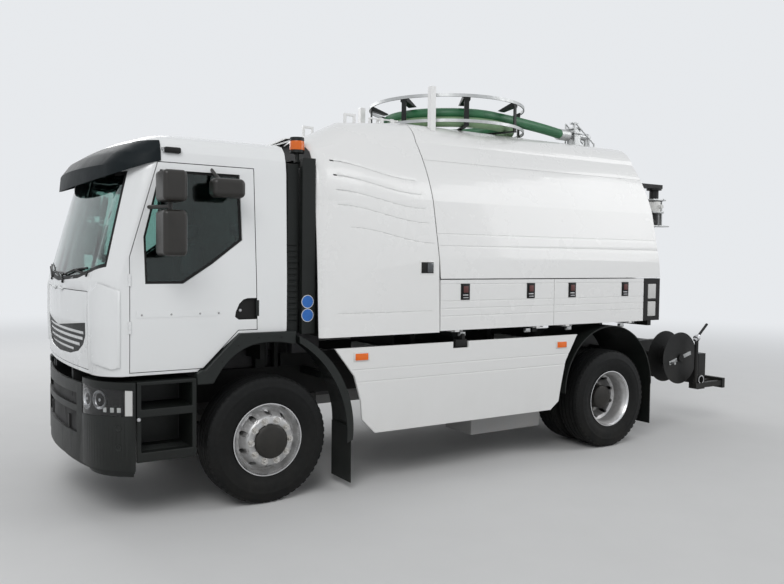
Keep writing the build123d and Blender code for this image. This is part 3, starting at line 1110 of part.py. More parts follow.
def cab_section(row, inset):
    """The cab's cut face at one height, set inwards."""
    z, width, side_x, corner_x, corner_y, front_x = row
    width -= inset
    corner_x -= inset
    front_x -= inset
    rear_x = CAB_REAR_X + inset
    side_x -= inset * 0.3
    corner_y -= inset * 0.3
    bend = (side_x + 0.62 * (corner_x - side_x), width - 0.30 * (width - corner_y))
    edges = [
        Line((rear_x, width), (side_x, width)),
        ThreePointArc((side_x, width), bend, (corner_x, corner_y)),
        ThreePointArc((corner_x, corner_y), (front_x, 0), (corner_x, -corner_y)),
        ThreePointArc((corner_x, -corner_y), (bend[0], -bend[1]), (side_x, -width)),
        Line((side_x, -width), (rear_x, -width)),
        Line((rear_x, -width), (rear_x, width)),
    ]
    return Pos(0, 0, z) * make_face(edges)


def cab_solid(inset):
    """The whole cab as a solid, set inwards on all sides."""
    rows = list(CAB_SECTIONS)
    top = rows[-1]
    rows[-1] = (top[0] - inset,) + top[1:]
    return loft([cab_section(row, inset) for row in rows], ruled=True)


# Door outline as X and Z, clockwise from its lower front corner
DOOR_OUTLINE = [
    (DOOR_FRONT_X, 1140), (DOOR_FRONT_X, 2000), (886, 2715), (120, 2715), (95, 1425), (255, 1425), (540, 1140),
]
# Door window outline as X and Z
WINDOW_OUTLINE = [(868, 2655), (240, 2655), (222, 2140), (470, 1950), (700, 1800), (985, 1800), (995, 2150)]


def shrunk(points, depth):
    """A closed outline moved inwards by a depth."""
    face = offset(outline(points), amount=-depth)
    return face


def flat_prism(face, y0, y1):
    """A prism of a flat face drawn as X and Z, from y0 to y1."""
    prism = extrude(Plane.XZ * face, amount=abs(y1 - y0), dir=(0, 1, 0))
    return Pos(0, min(y0, y1), 0) * prism


def windscreen_cutter(depth):
    """What the windscreen takes out of the cab, set inwards by a depth."""
    low = [(-1045, 1925), (-600, 1830), (0, 1795), (600, 1830), (1045, 1925)]
    high = [(985, 2640), (0, 2665), (-985, 2640)]
    face = shrunk(low + high, depth) if depth else outline(low + high)
    prism = extrude(Plane.YZ * face, amount=900, dir=(1, 0, 0))
    return Pos(900, 0, 0) * prism


def build_cab():
    """The cab shell, its doors, glass, front flap, visor and what stands inside."""
    outer = cab_solid(0)
    inner = cab_solid(CAB_SKIN)
    door_core = cab_solid(DOOR_THICKNESS)
    floor_top = CAB_FLOOR_Z + CAB_FLOOR_THICKNESS
    cavity = inner & block(CAB_REAR_X, FRONT_OVERHANG, -CAB_HALF_WIDTH, CAB_HALF_WIDTH, floor_top, CAB_ROOF_Z)
    cavity -= block(FIREWALL_X, FRONT_OVERHANG, -CAB_HALF_WIDTH, CAB_HALF_WIDTH, CAB_BOTTOM_Z, FLAP_TOP_Z + 30)
    for side in (1, -1):
        cavity -= block(CAB_REAR_X, 600, side * (CAB_ARCH_INNER_Y - CAB_ARCH_WALL), side * CAB_HALF_WIDTH, CAB_BOTTOM_Z,
                        CAB_ARCH_TOP_Z + CAB_ARCH_WALL)
    cavity -= block(CAB_REAR_X, TUNNEL_FRONT_X, -TUNNEL_HALF_WIDTH, TUNNEL_HALF_WIDTH, CAB_FLOOR_Z, TUNNEL_TOP_Z)
    shell = outer - cavity
    shell -= inner & block(CAB_REAR_X, FIREWALL_X, -CAB_HALF_WIDTH, CAB_HALF_WIDTH, CAB_BOTTOM_Z - 5, CAB_FLOOR_Z)
    shell -= block(CAB_REAR_X - 5, TUNNEL_FRONT_X - TUNNEL_WALL, TUNNEL_WALL - TUNNEL_HALF_WIDTH,
                   TUNNEL_HALF_WIDTH - TUNNEL_WALL, CAB_BOTTOM_Z - 5, TUNNEL_TOP_Z - TUNNEL_WALL)
    arch = [(600, CAB_BOTTOM_Z - 10), (255, CAB_ARCH_TOP_Z), (CAB_REAR_X - 10, CAB_ARCH_TOP_Z)]
    arch.append((CAB_REAR_X - 10, CAB_BOTTOM_Z - 10))
    for side in (1, -1):
        shell -= side_prism(arch, side * CAB_ARCH_INNER_Y, side * (CAB_HALF_WIDTH + 10))
    window_zone = flat_prism(outline(WINDOW_OUTLINE), 1000, CAB_HALF_WIDTH + 20)
    sill_room = flat_prism(outline(DOOR_OUTLINE), 1050, CAB_HALF_WIDTH + 20)
    shell -= sill_room & outer
    shell -= mirrored(sill_room & outer)
    door = (outer - door_core) & flat_prism(shrunk(DOOR_OUTLINE, PANEL_GAP), 1000, CAB_HALF_WIDTH + 20)
    door -= window_zone
    door -= (outer - cab_solid(HANDLE_DEPTH)) & flat_prism(outline(HANDLE_OUTLINE), 1000, CAB_HALF_WIDTH + 20)
    for z in DOOR_KNUCKLE_Z:
        third = DOOR_KNUCKLE_HEIGHT / 3
        for k in range(3):
            middle_z = z + (k - 1) * third
            place = Pos(DOOR_PIN_X, CAB_HALF_WIDTH, middle_z)
            sleeve = place * Cylinder(DOOR_KNUCKLE_RADIUS, third - 1)
            room = place * Cylinder(DOOR_KNUCKLE_RADIUS + 1, third)
            if k == 1:
                sleeve -= place * Cylinder(DOOR_PIN_RADIUS + RUNNING_FIT, third + 1)
                shell -= room
                shell -= mirrored(room)
                door += sleeve
                door -= place * Cylinder(DOOR_PIN_RADIUS + RUNNING_FIT, third + 1)
            else:
                door -= room
                shell += sleeve
                shell += mirrored(sleeve)
        pin = Pos(DOOR_PIN_X, CAB_HALF_WIDTH, z) * Cylinder(DOOR_PIN_RADIUS, DOOR_KNUCKLE_HEIGHT - 4)
        shell += pin
        shell += mirrored(pin)
    write("door_left", door)
    write("door_right", mirrored(door))
    glass_skin = cab_solid(20) - cab_solid(20 + GLASS_THICKNESS)
    glass = glass_skin & flat_prism(shrunk(WINDOW_OUTLINE, SEAT_GAP), 1000, CAB_HALF_WIDTH + 20)
    write("door_glass_left", glass)
    write("door_glass_right", mirrored(glass))
    shell -= windscreen_cutter(0)
    screen = (cab_solid(6) - cab_solid(6 + GLASS_THICKNESS)) & windscreen_cutter(SEAT_GAP)
    write("windscreen", screen)
    flap_room = block(1200, FRONT_OVERHANG + 10, -FLAP_HALF_WIDTH, FLAP_HALF_WIDTH, FLAP_BOTTOM_Z, FLAP_TOP_Z)
    shell -= (outer - cab_solid(60)) & flap_room
    flap_zone = block(1200, FRONT_OVERHANG + 10, PANEL_GAP - FLAP_HALF_WIDTH, FLAP_HALF_WIDTH - PANEL_GAP,
                      FLAP_BOTTOM_Z + PANEL_GAP, FLAP_TOP_Z - PANEL_GAP)
    flap = (outer - cab_solid(FLAP_THICKNESS)) & flap_zone
    grille_points = GRILLE_HALF + [(-y, z) for y, z in GRILLE_HALF[-2::-1]] + [(0, 1432)]
    flap -= front_prism(grille_points, 1200, FRONT_OVERHANG) - cab_solid(GRILLE_DEPTH)
    grille_face = Plane.YZ * shrunk(grille_points, SEAT_GAP)
    grille = Pos(1200, 0, 0) * extrude(grille_face, amount=220, dir=(1, 0, 0))
    grille = grille & (cab_solid(GRILLE_DEPTH - 7) - cab_solid(GRILLE_DEPTH - SEAT_GAP))
    # Bottom, top and half length of each air slot
    for z0, z1, reach in ((1262, 1284, 480), (1308, 1334, 640), (1358, 1384, 715), (1404, 1428, 735)):
        grille -= block(1200, FRONT_OVERHANG, -reach, reach, z0, z1)
    write("grille", grille)
    flap_pin = ((FLAP_AXIS_X, FLAP_KNUCKLE_Y - 70, FLAP_TOP_Z), (FLAP_AXIS_X, FLAP_KNUCKLE_Y + 70, FLAP_TOP_Z))
    bracket = rod(*flap_pin, 5)
    for y in (FLAP_KNUCKLE_Y - 70, FLAP_KNUCKLE_Y + 50):
        bracket += rod((FLAP_AXIS_X, y, FLAP_TOP_Z), (FLAP_AXIS_X, y + 20, FLAP_TOP_Z), 9)
        bracket += block(FLAP_AXIS_X - 40, FLAP_AXIS_X, y, y + 20, FLAP_TOP_Z + 1, FLAP_TOP_Z + 9)
    knuckle = rod((FLAP_AXIS_X, FLAP_KNUCKLE_Y - 45, FLAP_TOP_Z), (FLAP_AXIS_X, FLAP_KNUCKLE_Y + 45, FLAP_TOP_Z), 9)
    knuckle += block(FLAP_AXIS_X - 22, FLAP_AXIS_X, FLAP_KNUCKLE_Y - 45, FLAP_KNUCKLE_Y + 45, FLAP_TOP_Z - 20,
                     FLAP_TOP_Z - 1)
    knuckle -= rod(*flap_pin, 5 + RUNNING_FIT)
    for side in (1, -1):
        flap += knuckle if side == 1 else mirrored(knuckle)
        room = block(FLAP_AXIS_X - 10, FLAP_AXIS_X + 10, FLAP_KNUCKLE_Y - 75, FLAP_KNUCKLE_Y + 75, FLAP_TOP_Z - 10,
                     FLAP_TOP_Z + 10)
        shell -= room if side == 1 else mirrored(room)
        shell += bracket if side == 1 else mirrored(bracket)
    for y in (FLAP_KNUCKLE_Y - 72, FLAP_KNUCKLE_Y + 48):
        clear = block(FLAP_AXIS_X - 12, FLAP_AXIS_X + 12, y, y + 24, FLAP_TOP_Z - 12, FLAP_TOP_Z + 12)
        flap -= clear
        flap -= mirrored(clear)
    write("front_flap", flap)
    for side in (1, -1):
        shell += block(CAB_PIVOT_X - CAB_LUG_HALF_LENGTH, CAB_PIVOT_X + CAB_LUG_HALF_LENGTH, side * 340,
                       side * (RAIL_OUTER_Y - 45), CAB_PIVOT_Z - CAB_LUG_HALF_LENGTH, CAB_BOTTOM_Z + 25)
        shell += rod((CAB_PIVOT_X, side * 340, CAB_PIVOT_Z), (CAB_PIVOT_X, side * RAIL_OUTER_Y, CAB_PIVOT_Z),
                     CAB_PIVOT_RADIUS)
    deflector = (cab_solid(-DEFLECTOR_DEPTH) - cab_solid(5)) & side_prism(DEFLECTOR_OUTLINE, 852, CAB_HALF_WIDTH + 40)
    shell += deflector
    shell += mirrored(deflector)
    write("cab_shell", shell)
    write("arch_trims", pair(side_prism(TRIM_OUTLINE, TRIM_OUTER_Y - TRIM_DEPTH, TRIM_OUTER_Y)))
    build_visor()
    build_interior()
    build_mirrors()


def build_visor():
    """The dark sun visor across the top of the windscreen."""
    # Z, half width, X where the side ends, corner X, corner Y, X of the middle of the front
    rows = [
        (2520, 1122, 930, 1215, 880, 1345),
        (2690, 1120, 930, 1205, 880, 1325),
        (2780, 1110, 900, 1150, 860, 1260),
        (2850, 1088, 860, 1050, 830, 1150),
        (2878, 1072, 850, 1000, 815, 1100),
    ]
    solid = loft([cab_section(row, 0) for row in rows], ruled=True)
    solid -= loft([cab_section(row, VISOR_THICKNESS) for row in rows[:-1]], ruled=True)
    solid -= cab_solid(-SEAT_GAP)
    solid -= side_prism([(800, 2738), (960, 2692), (1400, 2530), (1400, 2400), (800, 2400)], -1200, 1200)
    solid = solid & block(860, FRONT_OVERHANG + 20, -1150, 1150, 2500, 2900)
    write("sun_visor", solid)


def build_interior():
    """Dashboard, two seats and the steering wheel."""
    place = Pos(*STEERING_WHEEL) * Rot(0, -STEERING_COLUMN_TILT, 0)
    back = FIREWALL_X - SEAT_GAP
    dash = side_prism([(back, 1290), (back, 1760), (1050, 1820), (880, 1760), (960, 1560), (985, 1290)], -990, 990)
    dash -= place * Pos(0, 0, -150) * Cylinder(COLUMN_RADIUS + SEAT_GAP, 290)
    write("dashboard", dash)
    seats = []
    for y in (-600, 600):
        seat = block(60, 560, y - 230, y + 230, 1650, 1760)
        seat += block(0, 120, y - 230, y + 230, 1650, 2330)
        near = -150 if y > 0 else -180
        seat += block(120, 480, y + near, y + near + 330, CAB_ARCH_TOP_Z + CAB_ARCH_WALL + SEAT_GAP, 1655)
        seats.append(seat)
    write("seats", seats)
    wheel = Torus(225, 16)
    wheel += Cylinder(50, 40)
    for k in range(3):
        wheel += Rot(0, 0, 120 * k) * Pos(115, 0, 0) * Box(220, 30, 14)
    column = Pos(0, 0, -150) * Cylinder(COLUMN_RADIUS, 280)
    write("steering_wheel", place * (wheel + column))


def build_mirrors():
    """Door mirrors: a tall one over a square one on an arm, and the kerb mirror."""
    y0 = CAB_HALF_WIDTH + 110
    y1 = y0 + 230
    upper = fillet(block(770, 945, y0, y1, 2400, 2625).edges(), 34)
    lower = fillet(block(770, 945, y0, y1, 2010, 2340).edges(), 34)
    arm = rod((850, y0 + 60, 2330), (850, y0 + 60, 2410), 18)
    arm += rod((962, CAB_HALF_WIDTH - 40, 2370), (850, y0 + 60, 2370), 15)
    mirrors = upper + lower + arm - cab_solid(-SEAT_GAP)
    kerb = fillet(block(280, 540, y0 - 20, y0 + 110, 2455, 2600).edges(), 40)
    kerb += rod((470, CAB_HALF_WIDTH - 50, 2690), (440, y0 + 30, 2560), 14)
    kerb -= cab_solid(-SEAT_GAP)
    write("mirrors_left", mirrors + kerb)
    write("mirrors_right", mirrored(mirrors))


def build_pump_room():
    """The pump block under the front covers."""
    pump = block(-790, FRONT_PLATE_X - 10, -500, 500, 1130 + SEAT_GAP, 1900)
    write("pump_unit", pump)


def main():
    os.makedirs("parts", exist_ok=True)
    build_wheels()
    build_knuckles()
    build_axles()
    build_springs()
    build_frame()
    build_driveline()
    build_side_tanks()
    build_bumper()
    build_steps()
    build_mudguards()
    build_behind_cab()
    build_covers()
    build_body_frame()
    build_roof_deck()
    build_posts()
    build_tank()
    build_tank_door()
    build_lockers()
    build_tail()
    build_skirts()
    build_rear_gear()
    build_basket()
    build_roof_valve()
    build_rear_pipes()
    build_cab()
    build_pump_room()


main()
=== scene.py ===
"""The looks of a two-axle sewer cleaning truck: finishes, edges, tyres, lamps and small fittings.

Lengths are metres in the vehicle's own frame: X forward, Y to its left, Z up from the ground.
"""
import bmesh
import bpy
import json
import math
from mathutils import Matrix, Vector
from mathutils.bvhtree import BVHTree


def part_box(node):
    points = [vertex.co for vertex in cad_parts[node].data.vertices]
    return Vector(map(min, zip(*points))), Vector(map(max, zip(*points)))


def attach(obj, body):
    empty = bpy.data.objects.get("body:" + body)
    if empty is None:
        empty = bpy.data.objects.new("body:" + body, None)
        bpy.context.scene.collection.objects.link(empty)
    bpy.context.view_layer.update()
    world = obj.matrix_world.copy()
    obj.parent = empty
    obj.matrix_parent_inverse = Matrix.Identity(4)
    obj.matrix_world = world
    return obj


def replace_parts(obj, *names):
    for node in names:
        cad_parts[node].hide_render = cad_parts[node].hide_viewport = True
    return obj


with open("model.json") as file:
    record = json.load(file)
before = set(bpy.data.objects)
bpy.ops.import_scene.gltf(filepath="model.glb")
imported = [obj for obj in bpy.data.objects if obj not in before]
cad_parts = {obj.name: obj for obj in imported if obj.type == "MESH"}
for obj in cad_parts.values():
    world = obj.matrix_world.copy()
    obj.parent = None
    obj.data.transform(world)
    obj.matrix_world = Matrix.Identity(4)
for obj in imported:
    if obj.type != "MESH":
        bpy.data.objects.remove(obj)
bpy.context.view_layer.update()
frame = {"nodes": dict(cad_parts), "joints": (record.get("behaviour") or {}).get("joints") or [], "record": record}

NODES = frame["nodes"]
BODY_OF = {node: body for body, nodes in frame["record"]["behaviour"]["bodies"].items() for node in nodes}
JOINTS = {joint["name"]: joint for joint in frame["joints"]}

# Camera, fitted to the photograph's frame
PHOTO_WIDTH = 784
FOCAL_PIXELS = 775.12
SENSOR_WIDTH = 36.0
CAMERA_PLACE = Vector((4.880, 6.945, 2.013))
CAMERA_YAW = math.radians(-122.717)
CAMERA_PITCH = math.radians(-2.504)
CAMERA_ROLL = 0.01148

# Wheel measures
AXLE_Z = JOINTS["front_wheel_spin_left"]["pos_m"][2]
FRONT_X = JOINTS["front_wheel_spin_left"]["pos_m"][0]
REAR_X = JOINTS["rear_wheel_spin_left"]["pos_m"][0]
FRONT_WHEEL_Y = JOINTS["front_wheel_spin_left"]["pos_m"][1]
REAR_WHEEL_Y = JOINTS["rear_wheel_spin_left"]["pos_m"][1]
TYRE_RADIUS = 0.523
TYRE_HALF_WIDTH = 0.149
TWIN_HALF_SPACING = 0.175
RIM_RADIUS = 0.2985
RIM_LIP = 0.018
HUB_RADIUS = 0.139
STUD_CIRCLE = 0.1675
STUDS = 10
NUT_RADIUS = 0.0205
FRONT_DISC_OUT = 0.175
WHEEL_CENTRE_X = {"front_wheel_left": FRONT_X, "front_wheel_right": FRONT_X,
                  "rear_wheels_left": REAR_X, "rear_wheels_right": REAR_X}

# Places on the vehicle, from the front axle's middle
SIDES = (("left", 1), ("right", -1))
AHEAD_X = 2.5
ASIDE_Y = 2.0
BASKET_X = -2.600


# Shader groups


def new_group(name, inputs, output, output_kind):
    """An empty shader group with number inputs and one output; returns it with its two end nodes."""
    group = bpy.data.node_groups.new(name, "ShaderNodeTree")
    for socket, value in inputs.items():
        made = group.interface.new_socket(name=socket, in_out="INPUT", socket_type="NodeSocketFloat")
        made.default_value = value
    group.interface.new_socket(name=output, in_out="OUTPUT", socket_type=output_kind)
    return group, group.nodes.new("NodeGroupInput"), group.nodes.new("NodeGroupOutput")


def group_node(group, kind, **values):
    """Adds a node and sets its plain properties and its unlinked inputs by name or number."""
    node = group.nodes.new(kind)
    for key, value in values.items():
        if key.startswith("in_"):
            label = key[3:]
            node.inputs[int(label) if label.isdigit() else label.replace("_", " ")].default_value = value
        else:
            setattr(node, key, value)
    return node


def make_dust_group():
    """Dust that settles low on the vehicle, as a mask over the surface."""
    inputs = {"Amount": 0.5, "Top": 1.2, "Scale": 3.0}
    group, start, end = new_group("road_dust", inputs, "Mask", "NodeSocketFloat")
    place = group_node(group, "ShaderNodeTexCoord")
    split = group_node(group, "ShaderNodeSeparateXYZ")
    cloud = group_node(group, "ShaderNodeTexNoise", in_Detail=6.0, in_Roughness=0.62)
    streak_map = group_node(group, "ShaderNodeMapping", in_Scale=(2.0, 2.0, 0.6))
    streaks = group_node(group, "ShaderNodeTexNoise", in_Scale=4.0, in_Detail=4.0)
    height = group_node(group, "ShaderNodeMapRange", in_3=1.0, in_4=0.0, in_1=0.1)
    both = group_node(group, "ShaderNodeMath", operation="ADD")
    sharper = group_node(group, "ShaderNodeMapRange", in_1=0.70, in_2=1.55)
    mixed = group_node(group, "ShaderNodeMath", operation="MULTIPLY")
    scaled = group_node(group, "ShaderNodeMath", operation="MULTIPLY", use_clamp=True)
    link = group.links.new
    link(place.outputs["Object"], split.inputs[0])
    link(place.outputs["Object"], cloud.inputs["Vector"])
    link(start.outputs["Scale"], cloud.inputs["Scale"])
    link(place.outputs["Object"], streak_map.inputs["Vector"])
    link(streak_map.outputs[0], streaks.inputs["Vector"])
    link(split.outputs["Z"], height.inputs[0])
    link(start.outputs["Top"], height.inputs[2])
    link(cloud.outputs[0], both.inputs[0])
    link(streaks.outputs[0], both.inputs[1])
    link(both.outputs[0], sharper.inputs[0])
    link(sharper.outputs[0], mixed.inputs[0])
    link(height.outputs[0], mixed.inputs[1])
    link(mixed.outputs[0], scaled.inputs[0])
    link(start.outputs["Amount"], scaled.inputs[1])
    link(scaled.outputs[0], end.inputs["Mask"])
    return group


def make_grain_group():
    """Fine moulded grain or brushing, as a normal."""
    inputs = {"Scale": 400.0, "Strength": 0.1}
    group, start, end = new_group("surface_grain", inputs, "Normal", "NodeSocketVector")
    place = group_node(group, "ShaderNodeTexCoord")
    noise = group_node(group, "ShaderNodeTexNoise", in_Detail=5.0, in_Roughness=0.6)
    bump = group_node(group, "ShaderNodeBump", in_Distance=0.002)
    link = group.links.new
    link(place.outputs["Object"], noise.inputs["Vector"])
    link(start.outputs["Scale"], noise.inputs["Scale"])
    link(noise.outputs[0], bump.inputs["Height"])
    link(start.outputs["Strength"], bump.inputs["Strength"])
    link(bump.outputs[0], end.inputs["Normal"])
    return group


DUST = make_dust_group()
GRAIN = make_grain_group()
DUST_COLOUR = (0.33, 0.28, 0.22, 1.0)
DUST_ROUGHNESS = 0.9
COAT_ROUGHNESS = 0.05


def dimmed(colour, share):
    """A colour with a share of its light."""
    return tuple(c * share for c in colour)


class Finish:
    """A material with one Principled shader, dust, a little colour change and grain."""

    def __init__(self, name, colour, roughness, metallic=0.0, coat=0.0, gloss=0.5):
        self.name = name
        self.material = bpy.data.materials.new(name)
        self.material.use_nodes = True
        self.tree = self.material.node_tree
        self.link = self.tree.links.new
        self.shader = self.tree.nodes["Principled BSDF"]
        self.shader.inputs["Roughness"].default_value = roughness
        self.shader.inputs["Metallic"].default_value = metallic
        self.shader.inputs["Specular IOR Level"].default_value = gloss
        self.shader.inputs["Coat Weight"].default_value = coat
        self.shader.inputs["Coat Roughness"].default_value = COAT_ROUGHNESS
        self.material.diffuse_color = (*colour, 1.0)
        self.colour = group_node(self.tree, "ShaderNodeMix", data_type="RGBA")
        self.colour.inputs["A"].default_value = (*colour, 1.0)
        self.colour.inputs["B"].default_value = (*dimmed(colour, 0.82), 1.0)
        dullest = min(1.0, roughness * 1.3)
        self.rough = group_node(self.tree, "ShaderNodeMapRange", in_3=roughness * 0.8, in_4=dullest)
        self.link(self.colour.outputs["Result"], self.shader.inputs["Base Color"])
        self.link(self.rough.outputs[0], self.shader.inputs["Roughness"])

    def mottle(self, scale, low=0.4, high=0.75, darker=None):
        """Lets the colour and gloss drift over the surface."""
        place = group_node(self.tree, "ShaderNodeTexCoord")
        noise = group_node(self.tree, "ShaderNodeTexNoise", in_Scale=scale, in_Detail=7.0, in_Roughness=0.65)
        spread = group_node(self.tree, "ShaderNodeMapRange", in_1=low, in_2=high)
        self.link(place.outputs["Object"], noise.inputs["Vector"])
        self.link(noise.outputs[0], spread.inputs[0])
        self.link(spread.outputs[0], self.colour.inputs["Factor"])
        self.link(noise.outputs[0], self.rough.inputs[0])
        if darker is not None:
            self.colour.inputs["B"].default_value = (*darker, 1.0)
        return self

    def grain(self, scale, strength):
        """Gives the surface a fine bump."""
        node = group_node(self.tree, "ShaderNodeGroup", node_tree=GRAIN)
        node.inputs["Scale"].default_value = scale
        node.inputs["Strength"].default_value = strength
        self.link(node.outputs["Normal"], self.shader.inputs["Normal"])
        return self

    def dust(self, amount, top, scale=3.0):
        """Lays road dust over the colour, thickest near the ground."""
        node = group_node(self.tree, "ShaderNodeGroup", node_tree=DUST)
        node.inputs["Amount"].default_value = amount
        node.inputs["Top"].default_value = top
        node.inputs["Scale"].default_value = scale
        cover = group_node(self.tree, "ShaderNodeMix", data_type="RGBA")
        cover.inputs["B"].default_value = DUST_COLOUR
        dull = group_node(self.tree, "ShaderNodeMix", data_type="FLOAT")
        dull.inputs["B"].default_value = DUST_ROUGHNESS
        self.link(node.outputs["Mask"], cover.inputs["Factor"])
        self.link(node.outputs["Mask"], dull.inputs["Factor"])
        self.link(self.colour.outputs["Result"], cover.inputs["A"])
        self.link(self.rough.outputs[0], dull.inputs["A"])
        self.link(cover.outputs["Result"], self.shader.inputs["Base Color"])
        self.link(dull.outputs["Result"], self.shader.inputs["Roughness"])
        return self


def paint(name, colour, roughness=0.28, dust=0.12, top=1.5):
    """Glossy vehicle paint."""
    finish = Finish(name, colour, roughness, coat=0.4).mottle(0.9, 0.3, 0.9, dimmed(colour, 0.98))
    return finish.grain(60.0, 0.012).dust(dust, top)


def moulded(name, colour, roughness, dust=0.12, top=1.4, grain=0.22, gloss=0.3):
    """Dark moulded plastic with a fine grain."""
    finish = Finish(name, colour, roughness, gloss=gloss).mottle(4.0, darker=dimmed(colour, 0.7))
    return finish.grain(700.0, grain).dust(dust, top)


def clear(name, colour, transmission=1.0, roughness=0.03, emission=0.0):
    """Glass or a lamp lens, tinted."""
    finish = Finish(name, colour, roughness)
    finish.shader.inputs["Transmission Weight"].default_value = transmission
    finish.shader.inputs["IOR"].default_value = 1.45
    finish.mottle(9.0, 0.45, 0.8, darker=dimmed(colour, 0.92))
    if emission:
        finish.shader.inputs["Emission Color"].default_value = (*colour, 1.0)
        finish.shader.inputs["Emission Strength"].default_value = emission
    return finish


def make_finishes():
    """Every finish on the truck, by name."""
    made = [
        paint("cab_white", (0.79, 0.80, 0.80), 0.24, 0.10, 1.5),
        paint("cover_white", (0.80, 0.80, 0.79), 0.26, 0.06, 1.8),
        paint("skirt_white", (0.78, 0.78, 0.77), 0.30, 0.16, 1.1),
        paint("box_grey", (0.33, 0.33, 0.33), 0.45, 0.30, 0.9),
        moulded("bumper_black", (0.0085, 0.0105, 0.0095), 0.40, 0.025),
        moulded("trim_grey", (0.014, 0.017, 0.016), 0.42, 0.03),
        moulded("mirror_black", (0.020, 0.018, 0.0155), 0.30, 0.02, 3.0, 0.12, 0.45),
        # Seal black also serves as painted shade inside the bumper's air slots.
        moulded("seal_black", (0.006, 0.006, 0.006), 0.55, 0.01, 3.0, 0.15),
        moulded("grille_black", (0.008, 0.009, 0.009), 0.5, 0.03, 2.0, 0.3),
        Finish("chassis_black", (0.008, 0.0085, 0.0085), 0.48, gloss=0.3)
        .mottle(8.0).grain(120.0, 0.15).dust(0.10, 1.1),
        Finish("forged_black", (0.025, 0.025, 0.026), 0.6, 0.2)
        .mottle(20.0).grain(250.0, 0.4).dust(0.35, 1.2),
        Finish("engine_grey", (0.10, 0.10, 0.105), 0.6, 0.5)
        .mottle(12.0).grain(150.0, 0.4).dust(0.35, 1.4),
        Finish("steel_bright", (0.58, 0.58, 0.59), 0.28, 1.0).mottle(30.0).grain(300.0, 0.08),
        Finish("steel_zinc", (0.50, 0.51, 0.51), 0.40, 0.85)
        .mottle(14.0).grain(90.0, 0.12).dust(0.08, 4.5),
        Finish("wheel_silver", (0.50, 0.50, 0.50), 0.38, 0.7)
        .mottle(18.0, 0.45, 0.85, (0.30, 0.29, 0.28)).grain(80.0, 0.1).dust(0.16, 1.3, 9.0),
        Finish("rim_polished", (0.72, 0.72, 0.73), 0.2, 1.0)
        .mottle(12.0, 0.5, 0.9).grain(80.0, 0.04).dust(0.08, 1.3, 9.0),
        Finish("hub_dark", (0.022, 0.021, 0.019), 0.42, 0.4)
        .mottle(25.0).grain(200.0, 0.2).dust(0.08, 1.3, 9.0),
        Finish("nut_steel", (0.66, 0.65, 0.63), 0.26, 0.95)
        .mottle(40.0, darker=(0.46, 0.44, 0.41)).grain(300.0, 0.06),
        Finish("visor_dark", (0.010, 0.014, 0.016), 0.5, gloss=0.1).mottle(6.0).grain(300.0, 0.05),
        Finish("rubber", (0.0045, 0.005, 0.005), 0.62, gloss=0.22)
        .mottle(25.0).grain(500.0, 0.2).dust(0.03, 0.9, 5.0),
        Finish("interior_grey", (0.030, 0.032, 0.034), 0.6).mottle(10.0).grain(700.0, 0.3),
        Finish("hose_green", (0.030, 0.165, 0.065), 0.38)
        .mottle(7.0, darker=(0.020, 0.105, 0.045)).grain(200.0, 0.15).dust(0.08, 5.0),
        Finish("hose_pale", (0.22, 0.34, 0.19), 0.45)
        .mottle(7.0, darker=(0.14, 0.24, 0.13)).grain(200.0, 0.15).dust(0.10, 5.0),
        Finish("seat_cloth", (0.05, 0.055, 0.07), 0.95).mottle(60.0, 0.35, 0.6).grain(900.0, 0.8),
        clear("cab_glass", (0.42, 0.60, 0.56)),
        clear("lamp_clear", (0.93, 0.95, 0.96)),
        clear("lamp_pale", (0.80, 0.80, 0.78), 0.25, 0.12),
        clear("lamp_orange", (0.85, 0.17, 0.015), 0.3, 0.12, 0.12),
        clear("lamp_red", (0.45, 0.012, 0.010), 0.2, 0.12, 0.03),
        Finish("mirror", (0.8, 0.82, 0.83), 0.03, 1.0).mottle(3.0),
        Finish("chrome_dark", (0.12, 0.125, 0.13), 0.18, 1.0).mottle(20.0).grain(60.0, 0.03),
        Finish("sign_blue", (0.02, 0.15, 0.52), 0.35).mottle(20.0).grain(400.0, 0.05),
        Finish("plate_white", (0.74, 0.74, 0.72), 0.4).mottle(20.0).grain(400.0, 0.05),
        Finish("latch_red", (0.10, 0.025, 0.022), 0.4).mottle(30.0).grain(500.0, 0.1),
    ]
    return {finish.name: finish.material for finish in made}


FINISHES = make_finishes()

# Meshes


def object_from(mesh_builder, name, finish, body, smooth_angle=35.0):
    """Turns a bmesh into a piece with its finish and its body."""
    mesh = bpy.data.meshes.new(name)
    mesh_builder.to_mesh(mesh)
    mesh_builder.free()
    piece = bpy.data.objects.new(name, mesh)
    bpy.context.scene.collection.objects.link(piece)
    for single in finish if isinstance(finish, list) else [finish]:
        mesh.materials.append(FINISHES[single])
    shade(piece, smooth_angle)
    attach(piece, body)
    return piece


def shade(piece, angle):
    """Smooth shading, kept sharp where faces meet at more than an angle."""
    mesh = piece.data
    mesh.polygons.foreach_set("use_smooth", [True] * len(mesh.polygons))
    mesh.set_sharp_from_angle(angle=math.radians(angle))


# Nodes with openings in flat faces, with wide gently curved faces, and with a slight curve all over
PAIRED_ONLY = {"entry_steps", "tail_lamps", "front_bumper", "intake_stack", "front_flap"}
CURVED_COVERS = {"front_cover_left", "front_cover_right", "rear_covers", "sun_visor"}
SLIGHTLY_CURVED = {"cab_shell", "door_left", "door_right"}


def merge_flat(bm, degrees):
    """Joins faces that meet at less than an angle."""
    bmesh.ops.dissolve_limit(bm, angle_limit=math.radians(degrees), verts=bm.verts, edges=bm.edges,
                             delimit=set())


